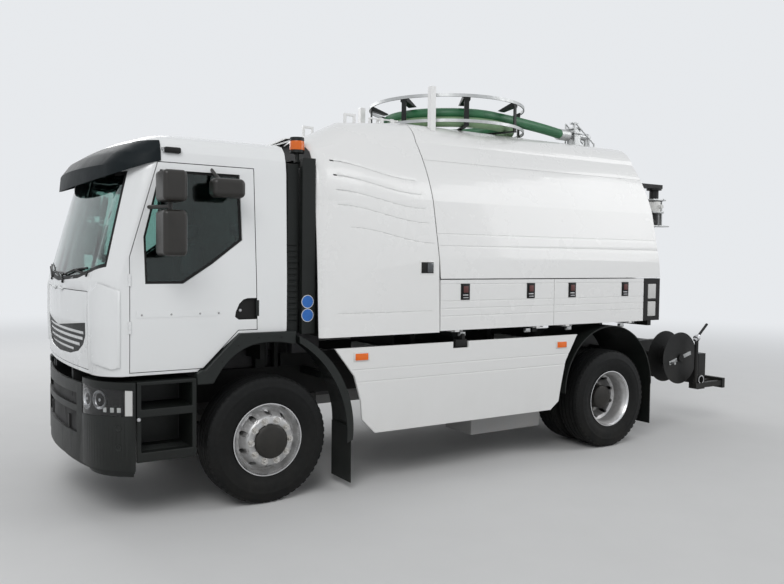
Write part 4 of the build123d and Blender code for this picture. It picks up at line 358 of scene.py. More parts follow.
def cad_bmesh(node):
    """A merged copy of a CAD node's mesh, with its flat areas as larger faces."""
    bm = bmesh.new()
    bm.from_mesh(NODES[node].data)
    bmesh.ops.remove_doubles(bm, verts=bm.verts, dist=0.00005)
    bmesh.ops.dissolve_degenerate(bm, dist=0.00002, edges=bm.edges)
    if node in PAIRED_ONLY:
        bmesh.ops.join_triangles(bm, faces=bm.faces, angle_face_threshold=0.002,
                                 angle_shape_threshold=math.pi)
    elif node not in CURVED_COVERS:
        merge_flat(bm, 0.05 if node in SLIGHTLY_CURVED else 0.6)
    return bm


def soften_edges(piece, width, angle):
    """Rounds the edges of a piece where its faces meet at more than an angle."""
    soften = piece.modifiers.new("soft_edges", "BEVEL")
    soften.width = width
    soften.segments = 2
    soften.limit_method = "ANGLE"
    soften.angle_limit = math.radians(angle)
    soften.harden_normals = True
    soften.use_clamp_overlap = True


def dressed(node, finish, edge, choose=None):
    """Stands for a CAD node: the same form with softened edges and its finish.

    choose(centre, normal) may return the number of the finish that a face takes.
    """
    bm = cad_bmesh(node)
    if choose:
        for face in bm.faces:
            face.material_index = choose(face.calc_center_median(), face.normal)
    piece = object_from(bm, node + "_looks", finish, BODY_OF[node], 30.0)
    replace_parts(piece, node)
    if node in CURVED_COVERS:
        even = piece.modifiers.new("even_shading", "WEIGHTED_NORMAL")
        even.mode = "FACE_AREA"
        even.weight = 50
        even.keep_sharp = True
    elif edge:
        soften_edges(piece, edge, 28.0)


def close_up(bm, reach=0.00002):
    """Merges doubles and turns the faces outwards."""
    bmesh.ops.remove_doubles(bm, verts=bm.verts, dist=reach)
    bmesh.ops.recalc_face_normals(bm, faces=bm.faces)


def full_turn(bm, places, centre, axis, steps):
    """Sweeps an open line through places a full turn about an axis."""
    verts = [bm.verts.new(place) for place in places]
    edges = [bm.edges.new(pair) for pair in zip(verts, verts[1:])]
    bmesh.ops.spin(bm, geom=verts + edges, cent=centre, axis=axis, angle=math.tau, steps=steps,
                   use_merge=True, use_duplicate=False)


def add_rod(bm, start, end, radius, sides=16):
    """Adds a round bar between two points."""
    start, end = Vector(start), Vector(end)
    turn = (end - start).to_track_quat("Z", "Y").to_matrix().to_4x4()
    place = Matrix.Translation((start + end) / 2) @ turn
    bmesh.ops.create_cone(bm, cap_ends=True, segments=sides, radius1=radius, radius2=radius,
                          depth=(end - start).length, matrix=place)


def add_box(bm, place, bevel):
    """Adds a unit cube moved by a matrix, with its edges rounded by a bevel."""
    made = bmesh.ops.create_cube(bm, size=1.0, matrix=place)["verts"]
    edges = list({edge for vert in made for edge in vert.link_edges})
    bmesh.ops.bevel(bm, geom=edges, offset=bevel, offset_type="OFFSET", segments=2, profile=0.5,
                    affect="EDGES", material=-1, clamp_overlap=True)


def add_block(bm, low, high, bevel):
    """Adds a box between two corners."""
    low, high = Vector(low), Vector(high)
    add_box(bm, Matrix.Translation((low + high) / 2) @ Matrix.Diagonal((*(high - low), 1.0)), bevel)


# Tyres and wheels


def tyre_profile():
    """Radius and Y of a tyre's outside from bead to bead."""
    half = TYRE_HALF_WIDTH
    side = [(0.290, half - 0.040), (0.300, half - 0.030), (0.318, half - 0.022), (0.335, half - 0.019),
            (0.352, half - 0.010), (0.385, half - 0.002), (0.408, half), (0.424, half - 0.0005),
            (0.430, half + 0.0015), (0.438, half + 0.0015), (0.444, half - 0.002), (0.470, half - 0.006),
            (0.490, half - 0.013), (0.503, half - 0.022), (0.5135, half - 0.032), (0.5195, half - 0.046)]
    grooves = []
    for centre in (0.080, 0.030):
        grooves += [(0.5215, centre + 0.006), (0.509, centre + 0.0045), (0.509, centre - 0.0045),
                    (0.5222, centre - 0.006)]
    grooves.append((TYRE_RADIUS, 0.0))
    half_line = side + grooves
    return half_line + [(r, -y) for r, y in reversed(half_line[:-1])]


def add_tread(bm, centre, count=54):
    """Cuts the shoulder into lugs with short slots round the tyre."""
    for k in range(count):
        angle = math.tau * k / count
        for side in (1, -1):
            out = Vector((math.sin(angle), 0.0, math.cos(angle)))
            place = centre + out * 0.5095 + Vector((0.0, side * (TYRE_HALF_WIDTH - 0.036), 0.0))
            turn = Matrix.Rotation(angle, 4, "Y")
            size = Matrix.Diagonal((0.036, 0.030, 0.022, 1.0))
            lug = bmesh.ops.create_cube(bm, size=1.0, matrix=Matrix.Translation(place) @ turn @ size)["verts"]
            for vert in lug:
                offset = vert.co - centre
                reach = math.hypot(offset.x, offset.z)
                lean = 0.007 if offset.y * side > TYRE_HALF_WIDTH - 0.036 else -0.001
                if reach > 0.51:
                    vert.co -= out * lean
    for k in range(count):
        angle = math.tau * (k + 0.5) / count
        out = Vector((math.sin(angle), 0.0, math.cos(angle)))
        for y, width in ((0.055, 0.036), (0.0, 0.046), (-0.055, 0.036)):
            place = centre + out * 0.5165 + Vector((0.0, y, 0.0))
            turn = Matrix.Rotation(angle, 4, "Y") @ Matrix.Rotation(0.35, 4, "Z")
            size = Matrix.Diagonal((0.042, width * 0.8, 0.0125, 1.0))
            bmesh.ops.create_cube(bm, size=1.0, matrix=Matrix.Translation(place) @ turn @ size)


def tyre(name, centre, body):
    """A road tyre with a grooved tread and shoulder lugs."""
    bm = bmesh.new()
    centre = Vector(centre)
    full_turn(bm, [centre + Vector((0.0, y, r)) for r, y in tyre_profile()], centre, (0, 1, 0), 96)
    close_up(bm)
    add_tread(bm, centre)
    return object_from(bm, name, "rubber", body, 40.0)


def rim_only(node):
    """A copy of a wheel node without its tyre."""
    bm = cad_bmesh(node)
    seen = set()
    doomed = []
    for first in bm.verts:
        if first in seen:
            continue
        island, stack = [], [first]
        seen.add(first)
        while stack:
            vert = stack.pop()
            island.append(vert)
            for edge in vert.link_edges:
                other = edge.other_vert(vert)
                if other not in seen:
                    seen.add(other)
                    stack.append(other)
        centre_x = WHEEL_CENTRE_X[node]
        reach = max(math.hypot(vert.co.x - centre_x, vert.co.z - AXLE_Z) for vert in island)
        if reach > RIM_RADIUS + 0.01:
            doomed += island
    bmesh.ops.delete(bm, geom=doomed, context="VERTS")
    return bm


def add_nuts(name, axle_x, face_y, way, body):
    """A ring of wheel nuts on washers, each on its stud's end."""
    bm = bmesh.new()
    for k in range(STUDS):
        angle = math.tau * (k + 0.5) / STUDS
        stud = Vector((axle_x + STUD_CIRCLE * math.sin(angle), 0.0, AXLE_Z + STUD_CIRCLE * math.cos(angle)))
        for inner, outer, size, sides in ((0.0, 0.004, NUT_RADIUS * 1.45, 20), (0.004, 0.026, NUT_RADIUS, 6),
                                          (0.026, 0.040, NUT_RADIUS * 0.58, 12)):
            start = stud + Vector((0, face_y + way * inner, 0))
            end = stud + Vector((0, face_y + way * outer, 0))
            add_rod(bm, start, end, size, sides)
    object_from(bm, name, "nut_steel", body, 30.0)


def rim_band(reach, y, hub_y):
    """Which finish a part of a wheel takes: polished at the lip, dark on the hub beyond a distance out."""
    if reach > RIM_RADIUS - RIM_LIP:
        return 1
    return 2 if reach < HUB_RADIUS and y > hub_y else 0


def add_rims(node, hub_y, body):
    """A wheel node's rims and hub, with their edges softened."""
    bm = rim_only(node)
    middle = Vector((WHEEL_CENTRE_X[node], 0.0, AXLE_Z))
    for face in bm.faces:
        reaches = [math.hypot(vert.co.x - middle.x, vert.co.z - middle.z) for vert in face.verts]
        face.material_index = rim_band(sum(reaches) / len(reaches), abs(face.calc_center_median().y), hub_y)
    piece = object_from(bm, f"{node}_rims", ["wheel_silver", "rim_polished", "hub_dark"], body, 32.0)
    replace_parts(piece, node)
    soften_edges(piece, 0.003, 40.0)


def wheel_set(side, way):
    """Both axles' wheels on one side: tyres, rims, hubs and nuts."""
    front_node, rear_node = f"front_wheel_{side}", f"rear_wheels_{side}"
    front_body, rear_body = BODY_OF[front_node], BODY_OF[rear_node]
    front_y = FRONT_WHEEL_Y * way
    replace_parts(tyre(f"front_tyre_{side}", (FRONT_X, front_y, AXLE_Z), front_body), front_node)
    for name, offset in (("inner", -TWIN_HALF_SPACING), ("outer", TWIN_HALF_SPACING)):
        place = (REAR_X, (REAR_WHEEL_Y + offset) * way, AXLE_Z)
        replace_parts(tyre(f"rear_tyre_{name}_{side}", place, rear_body), rear_node)
    add_rims(front_node, FRONT_WHEEL_Y + 0.12, front_body)
    add_rims(rear_node, 0.0, rear_body)
    add_nuts(f"front_nuts_{side}", FRONT_X, front_y + way * FRONT_DISC_OUT, way, front_body)
    add_nuts(f"rear_nuts_{side}", REAR_X, REAR_WHEEL_Y * way, way, rear_body)


# CAD nodes with softened edges and their finishes

PLAIN_LOOKS = {
    # node: (finish, edge radius)
    "chassis_frame": ("chassis_black", 0.003),
    "front_axle": ("forged_black", 0.006),
    "rear_axle": ("forged_black", 0.004),
    "leaf_springs": ("forged_black", 0.003),
    "engine_and_driveline": ("engine_grey", 0.012),
    "side_boxes": ("box_grey", 0.010),
    "entry_steps": ("bumper_black", 0.008),
    "front_mudguards": ("trim_grey", 0.003),
    "rear_mudguards": ("bumper_black", 0.003),
    "arch_trims": ("trim_grey", 0.010),
    "intake_stack": ("bumper_black", 0.006),
    "beacon_frame": ("bumper_black", 0.005),
    "body_frame": ("chassis_black", 0.002),
    "tank": ("cover_white", 0.003),
    "roof_deck": ("cover_white", 0.002),
    "roof_posts": ("cover_white", 0.004),
    "rear_covers": ("cover_white", 0.003),
    "lockers": ("box_grey", 0.003),
    "tail_lamps": ("seal_black", 0.006),
    "side_skirts": ("skirt_white", 0.006),
    "rear_bar": ("chassis_black", 0.006),
    "reel_stand": ("chassis_black", 0.004),
    "roof_valve": ("steel_zinc", 0.003),
    "pump_unit": ("engine_grey", 0.01),
    "dashboard": ("interior_grey", 0.015),
    "sun_visor": ("visor_dark", 0.002),
    "steering_wheel": ("rubber", 0.003),
    "front_flap": ("cab_white", 0.006),
    "grille": ("grille_black", 0.002),
    "tank_door": ("cover_white", 0.003),
    "tie_rod": ("forged_black", 0.003),
    "windscreen": ("cab_glass", 0.0),
}
PAIRED_LOOKS = {
    # node with the side left open: (finish, edge radius)
    "front_cover_{}": ("cover_white", 0.004),
    "locker_door_{}_front": ("cover_white", 0.006),
    "locker_door_{}_rear": ("cover_white", 0.006),
    "knuckle_{}": ("forged_black", 0.004),
    "door_glass_{}": ("cab_glass", 0.0),
    "mirrors_{}": ("mirror_black", 0.0),
}
CAB_MIDDLE = Vector((FRONT_X + 0.60, 0.0, 2.05))
CAB_FOOT_Z = 1.117
REEL_OUTER_Y = 1.0


def cab_face(centre, normal):
    """Outside of the cab white, its inside grey, and its pivot lugs black."""
    x = centre.x - FRONT_X
    under = centre.z < 1.41 and abs(centre.y) < 1.115 and (x < 0.66 or normal.z < -0.7)
    if centre.z < CAB_FOOT_Z or under:
        return 2
    inward = (CAB_MIDDLE - centre).dot(normal) > 0
    deep = abs(centre.y) < 1.10 and centre.x < FRONT_X + 1.30 and centre.z < 2.90
    return 1 if inward and deep else 0


def door_face(centre, normal):
    """Outside of a door white, its inside grey and its handle recess black."""
    x = centre.x - FRONT_X
    if 0.058 <= x <= 0.288 and 1.510 <= centre.z <= 1.684 and abs(centre.y) < 1.1365:
        return 2
    return 1 if normal.y * centre.y < -0.3 * abs(centre.y) else 0


def bumper_face(centre, normal):
    """Painted shade: the air slots' insides are darker than the bumper, standing in for the shade that falls
    inside them.
    """
    outside = 1.440 - 0.075 * (centre.y / 0.70) ** 2
    in_slot = 0.626 < centre.z < 0.799 or 0.841 < centre.z < 0.944
    deep = 1.33 < centre.x - FRONT_X < outside - 0.009
    return 1 if in_slot and abs(centre.y) < 0.595 and deep else 0


def pipe_face(centre, normal):
    """The rear door's valve body is pale between its plates."""
    return 1 if 2.622 < centre.z < 2.752 else 0


def lamp_face(centre, normal):
    """Clear lens over the lamp, pale lens on the strip at its end."""
    return 1 if centre.x < FRONT_X + 1.1352 else 0


def basket_face(centre, normal):
    """Pale rings and dark brackets on the hose basket."""
    reach = math.hypot(centre.x - FRONT_X - BASKET_X, centre.y)
    on_ring = reach > 0.8345 and (centre.z > 3.62 or 3.37 < centre.z < 3.41)
    return 0 if on_ring else 1


def reel_face(centre, normal):
    """Black flanges and drum, bright crank."""
    return 1 if centre.y > REEL_OUTER_Y + 0.0002 else 0


def dress_cad_nodes():
    """Every node whose own form stays."""
    for node, (finish, edge) in PLAIN_LOOKS.items():
        dressed(node, finish, edge)
    for side, sign in SIDES:
        for node, (finish, edge) in PAIRED_LOOKS.items():
            dressed(node.format(side), finish, edge)
        dressed(f"door_{side}", ["cab_white", "interior_grey", "seal_black"], 0.005, choose=door_face)
    dressed("cab_shell", ["cab_white", "interior_grey", "chassis_black"], 0.006, choose=cab_face)
    dressed("headlamps", ["lamp_clear", "lamp_pale"], 0.003, choose=lamp_face)
    # Painted shade: the insides of the bumper's air slots take the seal black.
    dressed("front_bumper", ["bumper_black", "seal_black"], 0.006, choose=bumper_face)
    dressed("rear_pipes", ["chassis_black", "plate_white"], 0.004, choose=pipe_face)
    dressed("hose_basket", ["steel_zinc", "bumper_black"], 0.002, choose=basket_face)
    dressed("hose_reel", ["chassis_black", "steel_zinc"], 0.002, choose=reel_face)


# Fittings

TREES = {}


def at(x, y, z):
    """A place given from the front axle's middle on the ground."""
    return Vector((FRONT_X + x, y, z))


def touch(node, start, way):
    """Where a straight line first meets a CAD node, and the way that its surface faces there."""
    if node not in TREES:
        bm = bmesh.new()
        bm.from_mesh(NODES[node].data)
        TREES[node] = BVHTree.FromBMesh(bm)
        bm.free()
    place, normal = TREES[node].ray_cast(Vector(start), Vector(way).normalized())[:2]
    if place is None:
        raise RuntimeError(f"nothing of {node} from {tuple(start)}")
    return place, normal


def side_touch(node, x, z, sign):
    """Where a line from outside the vehicle's side meets a node."""
    return touch(node, at(x, sign * ASIDE_Y, z), (0, -sign, 0))


def side_of(node, x, z, sign):
    """The outermost Y of a node at a place on the vehicle's side."""
    return side_touch(node, x, z, sign)[0].y


def front_touch(node, y, z):
    """Where a line from ahead of the vehicle meets a node."""
    return touch(node, at(AHEAD_X, y, z), (-1, 0, 0))


def skin(node, chosen, margin=0.0, ring=False, lift=0.001, thickness=0.002):
    """A thin copy of chosen faces of a CAD node, drawn in by a margin, or only that margin's ring."""
    bm = cad_bmesh(node)
    bmesh.ops.delete(bm, geom=[face for face in bm.faces if not chosen(face)], context="FACES")
    merge_flat(bm, 3.0)
    if margin:
        rim = set(bmesh.ops.inset_region(bm, faces=bm.faces[:], thickness=margin, use_boundary=True,
                                         use_even_offset=True)["faces"])
        doomed = [face for face in bm.faces if (face in rim) != ring]
        bmesh.ops.delete(bm, geom=doomed, context="FACES")
    bm.normal_update()
    for vert in bm.verts:
        vert.co += vert.normal * (lift + thickness)
    bmesh.ops.solidify(bm, geom=bm.faces[:], thickness=thickness)
    return bm


def turned_profile(bm, points, start, way, steps):
    """Adds a turned form: points are (radius, distance along the way from the start)."""
    way = Vector(way).normalized()
    across = way.orthogonal().normalized()
    full_turn(bm, [Vector(start) + across * r + way * d for r, d in points], start, way, steps)


def turned_piece(bm, name, finish, body):
    """Closes up turned forms and makes them a piece."""
    close_up(bm)
    object_from(bm, name, finish, body)


def slab(bm, xs, zs, skin_y, sign, inner, outer, bevel):
    """Adds a flat block on the vehicle's side, between two distances out from its skin."""
    ys = sorted((skin_y + sign * inner, skin_y + sign * outer))
    add_block(bm, at(xs[0], ys[0], zs[0]), at(xs[1], ys[1], zs[1]), bevel)


def bolts(bm, places, way, radius=0.009, height=0.006):
    """Small hexagon bolt heads."""
    for place in places:
        add_rod(bm, Vector(place) - Vector(way) * 0.004, Vector(place) + Vector(way) * height, radius, 6)


# Cab fittings


def add_seals():
    """Black rubber round the cab glass."""
    bm = skin("windscreen", lambda face: face.normal.x > 0.35, 0.030, True, 0.0005, 0.002)
    object_from(bm, "windscreen_seal", "seal_black", BODY_OF["windscreen"])
    for side, sign in SIDES:
        node = f"door_glass_{side}"
        bm = skin(node, lambda face: face.normal.y * sign > 0.6, 0.020, True, 0.0005, 0.003)
        object_from(bm, f"door_seal_{side}", "seal_black", BODY_OF[node])


def glass_foot(y, above):
    """A place on the windscreen a little above its lower edge."""
    bm = bmesh.new()
    bm.from_mesh(NODES["windscreen"].data)
    cut = bmesh.ops.bisect_plane(bm, geom=bm.verts[:] + bm.edges[:] + bm.faces[:], plane_co=(0, y, 0),
                                 plane_no=(0, 1, 0))["geom_cut"]
    low = min(item.co.z for item in cut if isinstance(item, bmesh.types.BMVert))
    bm.free()
    return front_touch("windscreen", y, low + above)


def add_wipers():
    """Three wipers parked along the foot of the windscreen."""
    bm = bmesh.new()
    for y, reach in ((0.78, 0.52), (0.20, 0.52), (-0.36, 0.44)):
        ends = [glass_foot(y - reach * part, 0.040)[0].z for part in (0.0, 1.0)]
        points = []
        for k in range(7):
            part = k / 6
            z = ends[0] + (ends[1] - ends[0]) * part + 0.012 * math.sin(math.pi * part)
            place, normal = front_touch("windscreen", y - reach * part, z)
            points.append(place + normal * 0.014)
        for a, b in zip(points, points[1:]):
            add_rod(bm, a, b + (b - a) * 0.04, 0.008, 10)
        arm_foot = points[0] + Vector((0.004, 0.0, -0.050))
        add_rod(bm, arm_foot, points[3] + Vector((0.010, 0.0, 0.0)), 0.009, 10)
        turned_profile(bm, [(0.0, 0.012), (0.018, 0.008), (0.020, -0.03), (0.0, -0.03)], arm_foot,
                       (1, 0, 0.3), 16)
    turned_piece(bm, "wipers", "seal_black", "cab")


def add_mirror_glass():
    """Mirror glass set into the rear of each mirror."""
    for side, sign in SIDES:
        node = f"mirrors_{side}"
        bm = skin(node, lambda face: face.normal.x < -0.97 and face.calc_area() > 0.012, 0.004, lift=0.0005,
                  thickness=0.003)
        object_from(bm, f"mirror_glass_{side}", "mirror", BODY_OF[node])


def add_door_fittings():
    """A pull handle and a lock in each door's recess."""
    for side, sign in SIDES:
        node = f"door_{side}"
        foot = side_of(node, 0.160, 1.60, sign)
        bm = bmesh.new()
        slab(bm, (0.082, 0.108), (1.535, 1.665), foot, sign, 0.014, 0.026, 0.004)
        for z in (1.545, 1.655):
            slab(bm, (0.084, 0.106), (z - 0.008, z + 0.008), foot, sign, -0.002, 0.018, 0.002)
        object_from(bm, f"door_pull_{side}", "trim_grey", BODY_OF[node])
        bm = bmesh.new()
        turned_profile(bm, [(0.0, 0.006), (0.010, 0.006), (0.013, 0.003), (0.013, -0.003), (0.0, -0.003)],
                       at(0.235, foot, 1.585), (0, sign, 0), 20)
        turned_piece(bm, f"door_lock_{side}", "steel_bright", BODY_OF[node])


def add_door_strips():
    """A flat strip across each cab door with a row of small studs."""
    for side, sign in SIDES:
        door = f"door_{side}"
        strip = bmesh.new()
        ends = []
        for x in (1.050, 0.895, 0.740, 0.585, 0.430):
            place, normal = side_touch(door, x, 1.575, sign)
            ends.append(place + normal * 0.001)
        for a, b in zip(ends, ends[1:]):
            way = (b - a).normalized()
            up = Vector((0, 0, 1))
            turn = Matrix((way, up, way.cross(up))).transposed().to_4x4()
            size = Matrix.Diagonal(((b - a).length, 0.052, 0.004, 1.0))
            bmesh.ops.create_cube(strip, size=1.0, matrix=Matrix.Translation((a + b) / 2) @ turn @ size)
        bmesh.ops.recalc_face_normals(strip, faces=strip.faces)
        object_from(strip, f"door_strip_{side}", "cab_white", BODY_OF[door])
        studs = bmesh.new()
        for x in (1.011, 0.791, 0.569, 0.420):
            place, normal = side_touch(door, x, 1.570, sign)
            turned_profile(studs, [(0.0, 0.006), (0.006, 0.005), (0.008, 0.001), (0.0, 0.0)],
                           place + normal * 0.002, normal, 12)
        turned_piece(studs, f"door_strip_studs_{side}", "box_grey", BODY_OF[door])


def add_roof_markers():
    """A small black lamp housing with a pale lens on each side of the cab roof's edge."""
    black = bmesh.new()
    lens = bmesh.new()
    for side, sign in SIDES:
        foot = side_touch("cab_shell", 0.785, 2.803, sign)[0]
        ys = sorted((foot.y - sign * 0.010, foot.y + sign * 0.036))
        add_block(black, (foot.x - 0.075, ys[0], foot.z - 0.020),
                  (foot.x + 0.050, ys[1], foot.z + 0.024), 0.012)
        add_block(lens, (foot.x + 0.040, ys[0] + 0.004, foot.z - 0.016),
                  (foot.x + 0.070, ys[1] - 0.004, foot.z + 0.019), 0.010)
    object_from(black, "roof_marker_cases", "seal_black", "cab")
    object_from(lens, "roof_marker_lenses", "lamp_clear", "cab")


def add_headlamp_insides():
    """Reflector bowls, pale lower bars and a dark back behind each headlamp lens."""
    for side, sign in SIDES:
        bowls = bmesh.new()
        for y, z, radius in ((0.800, 0.925, 0.078), (0.965, 0.935, 0.066)):
            place, normal = front_touch("headlamps", sign * y, z)
            start = place - normal * 0.034
            profile = [(0.0, 0.0), (radius * 0.45, 0.004), (radius * 0.8, 0.014), (radius, 0.028),
                       (radius + 0.004, 0.028), (radius + 0.004, -0.002), (0.0, -0.003)]
            turned_profile(bowls, profile, start, normal, 32)
            turned_profile(bowls, [(0.0, 0.022), (0.012, 0.018), (0.014, 0.0), (0.0, 0.0)], start, normal, 16)
        turned_piece(bowls, f"headlamp_bowls_{side}", "steel_bright", "chassis")
        bars = bmesh.new()
        for x, z0, z1 in ((1.175, 0.852, 0.888), (1.215, 0.850, 0.886), (1.255, 0.848, 0.884)):
            place, normal = side_touch("headlamps", x, (z0 + z1) / 2, sign)
            middle = place - normal * 0.016
            turn = normal.to_track_quat("Z", "Y").to_matrix().to_4x4()
            size = Matrix.Diagonal((0.030, 0.036, 0.010, 1.0))
            add_box(bars, Matrix.Translation(middle) @ turn @ size, 0.002)
        object_from(bars, f"headlamp_bars_{side}", "plate_white", "chassis")
        back = skin("headlamps", lambda face: face.normal.y * sign < 0.2 and face.normal.x < -0.3
                    and face.calc_center_median().y * sign > 0.6, lift=-0.004)
        object_from(back, f"headlamp_back_{side}", "seal_black", "chassis")


def add_bumper_fittings():
    """Round recess caps and corner bolts on the bumper; tread strips on the steps."""
    caps = bmesh.new()
    bright = bmesh.new()
    strips = bmesh.new()
    for side, sign in SIDES:
        for z in (0.742, 0.595):
            place, normal = side_touch("front_bumper", 1.175, z, sign)
            profile = [(0.0, -0.004), (0.014, -0.004), (0.017, 0.001), (0.024, 0.003), (0.026, 0.0),
                       (0.026, -0.006), (0.0, -0.008)]
            turned_profile(caps, profile, place, normal, 28)
        place, normal = side_touch("entry_steps", 1.045, 0.800, sign)
        turned_profile(bright, [(0.0, 0.008), (0.011, 0.006), (0.016, 0.0), (0.016, -0.004), (0.0, -0.004)],
                       place, normal, 20)
        for z_from in (1.06, 0.70):
            for k in range(5):
                y = sign * (1.10 - 0.030 * k)
                foot_z = touch("entry_steps", at(0.84, y, z_from), (0, 0, -1))[0].z
                add_block(strips, at(0.66, y - 0.008, foot_z - 0.002),
                          at(1.02, y + 0.008, foot_z + 0.005), 0.002)
    turned_piece(caps, "bumper_caps", "trim_grey", "chassis")
    turned_piece(bright, "step_bolts", "steel_bright", "chassis")
    object_from(strips, "step_treads", "trim_grey", "chassis")


# Body fittings

LOCKER_LATCH_X = (-1.93, -2.75, -3.32, -4.12)


def locker_door_at(x, side):
    """Which locker door covers a place along the side."""
    return f"locker_door_{side}_{'front' if x > -3.05 else 'rear'}"


def add_locker_latches():
    """Framed pull latches on the locker doors, and small steel catches below them."""
    for side, sign in SIDES:
        for end in ("front", "rear"):
            node = f"locker_door_{side}_{end}"
            frames, hearts, slots = bmesh.new(), bmesh.new(), bmesh.new()
            for x in LOCKER_LATCH_X:
                if locker_door_at(x, side) != node:
                    continue
                y = side_of(node, x, 1.705, sign)
                for bm, half, zs, inner, outer, bevel in (
                        (frames, 0.052, (1.632, 1.782), -0.003, 0.005, 0.002),
                        (frames, 0.040, (1.690, 1.770), 0.003, 0.013, 0.003),
                        (hearts, 0.028, (1.700, 1.760), 0.010, 0.015, 0.002),
                        (frames, 0.046, (1.640, 1.668), 0.003, 0.011, 0.003),
                        (slots, 0.030, (1.672, 1.682), 0.003, 0.008, 0.001),
                        (slots, 0.030, (1.649, 1.656), 0.010, 0.013, 0.001)):
                    slab(bm, (x - half, x + half), zs, y, sign, inner, outer, bevel)
            body, slot = BODY_OF[node], "dark_plastic"
            object_from(frames, f"latch_frames_{side}_{end}", "seal_black", body)
            object_from(hearts, f"latch_hearts_{side}_{end}", "latch_red", body)
            object_from(slots, f"latch_slots_{side}_{end}", "steel_bright", body)
        catches = bmesh.new()
        for x in LOCKER_LATCH_X:
            slab(catches, (x - 0.03, x + 0.03), (1.300, 1.3295), 0.0, sign, 1.175, 1.215, 0.003)
            add_rod(catches, at(x - 0.04, sign * 1.195, 1.300), at(x + 0.04, sign * 1.195, 1.300), 0.009, 12)
        object_from(catches, f"locker_catches_{side}", "steel_zinc", "chassis")


def add_cover_latches():
    """A framed paddle latch near the rear edge of each front cover."""
    for side, sign in SIDES:
        node = f"front_cover_{side}"
        y = side_of(node, -1.505, 1.93, sign)
        for name, finish, slot, xs, zs, outs in (
                ("frame_", "cover_white", "white_cover", (-1.585, -1.425), (1.865, 1.995),
                 (-0.010, 0.004, 0.003)),
                ("", "seal_black", "dark_plastic", (-1.572, -1.438), (1.880, 1.980), (0.000, 0.007, 0.002)),
                ("paddle_", "chrome_dark", "steel", (-1.568, -1.500), (1.885, 1.975), (0.004, 0.013, 0.004))):
            bm = bmesh.new()
            slab(bm, xs, zs, y, sign, *outs)
            object_from(bm, f"cover_latch_{name}{side}", finish, BODY_OF[node])


def add_side_markers():
    """Orange side lamps in pale frames on the skirts, and the latch in each skirt's notch."""
    frames, lenses, catch = bmesh.new(), bmesh.new(), bmesh.new()
    for side, sign in SIDES:
        for x, z in ((-0.815, 1.165), (-3.185, 1.150)):
            y = side_of("side_skirts", x, z, sign)
            slab(frames, (x - 0.078, x + 0.078), (z - 0.040, z + 0.040), y, sign, -0.003, 0.006, 0.003)
            slab(lenses, (x - 0.062, x + 0.062), (z - 0.029, z + 0.029), y, sign, 0.002, 0.016, 0.005)
        slab(catch, (-1.965, -1.830), (1.195, 1.262), 0.0, sign, 1.190, 1.238, 0.006)
        slab(catch, (-1.940, -1.905), (1.250, 1.315), 0.0, sign, 1.190, 1.238, 0.005)
        add_rod(catch, at(-1.922, sign * 1.205, 1.29), at(-1.922, sign * 1.205, 1.335), 0.010, 12)
    object_from(frames, "marker_frames", "plate_white", "chassis")
    object_from(lenses, "marker_lenses", "lamp_orange", "chassis")
    object_from(catch, "skirt_catches", "seal_black", "chassis")


def add_panel_discs():
    """Two blank blue discs with pale rims on each side panel behind the cab."""
    for name, finish, radius, top, foot in (("panel_discs", "sign_blue", 0.0505, 0.002, 0.0),
                                            ("panel_disc_rims", "plate_white", 0.0555, 0.0012, -0.001)):
        bm = bmesh.new()
        for side, sign in SIDES:
            for z in (1.643, 1.530):
                place, normal = side_touch("beacon_frame", -0.344, z, sign)
                disc = [(0.0, top), (radius, top), (radius, foot), (0.0, foot)]
                turned_profile(bm, disc, place, normal, 40)
        turned_piece(bm, name, finish, "chassis")


def add_tail_lenses():
    """Clear and red lenses in the recesses at the rear of each side, and lamps facing back."""
    pale, red, orange = bmesh.new(), bmesh.new(), bmesh.new()
    for side, sign in SIDES:
        for z0, z1 in ((1.395, 1.570), (1.590, 1.765)):
            slab(pale, (-4.634, -4.506), (z0 + 0.006, z1 - 0.006), 0.0, sign, 1.2315, 1.2405, 0.003)
        rear = touch("tail_lamps", at(-7.0, sign * 1.195, 1.6), (1, 0, 0))[0].x
        for z0, z1, bm in ((1.40, 1.50, red), (1.52, 1.60, orange), (1.62, 1.72, red)):
            y = sign * 1.195
            add_block(bm, (rear - 0.008, y - 0.032, z0), (rear + 0.004, y + 0.032, z1), 0.004)
    object_from(pale, "tail_side_lenses", "lamp_pale", "chassis")
    object_from(red, "tail_red_lenses", "lamp_red", "chassis")
    object_from(orange, "tail_orange_lenses", "lamp_orange", "chassis")


def add_beacons():
    """Orange beacon domes over their dark feet."""
    for side, sign in SIDES:
        centre = at(-0.335, sign * 0.95, 2.83)
        dome = bmesh.new()
        profile = [(0.0, 0.196), (0.030, 0.194), (0.048, 0.186), (0.058, 0.170), (0.0615, 0.150),
                   (0.0625, 0.095), (0.0625, 0.085), (0.0, 0.085)]
        turned_profile(dome, profile, centre, (0, 0, 1), 48)
        turned_piece(dome, f"beacon_dome_{side}", "lamp_orange", "chassis")


# Seats

SEAT_Y = 0.600
CLOTH_FRAMES = 20
FILLING_LIMIT = 0.014
CHANNEL_DEPTH = 0.007


def apply_modifiers(piece):
    """Makes a piece's mesh what its modifiers give."""
    made = bpy.data.meshes.new_from_object(piece.evaluated_get(bpy.context.evaluated_depsgraph_get()))
    made.name = piece.name + "_mesh"
    piece.modifiers.clear()
    piece.data = made


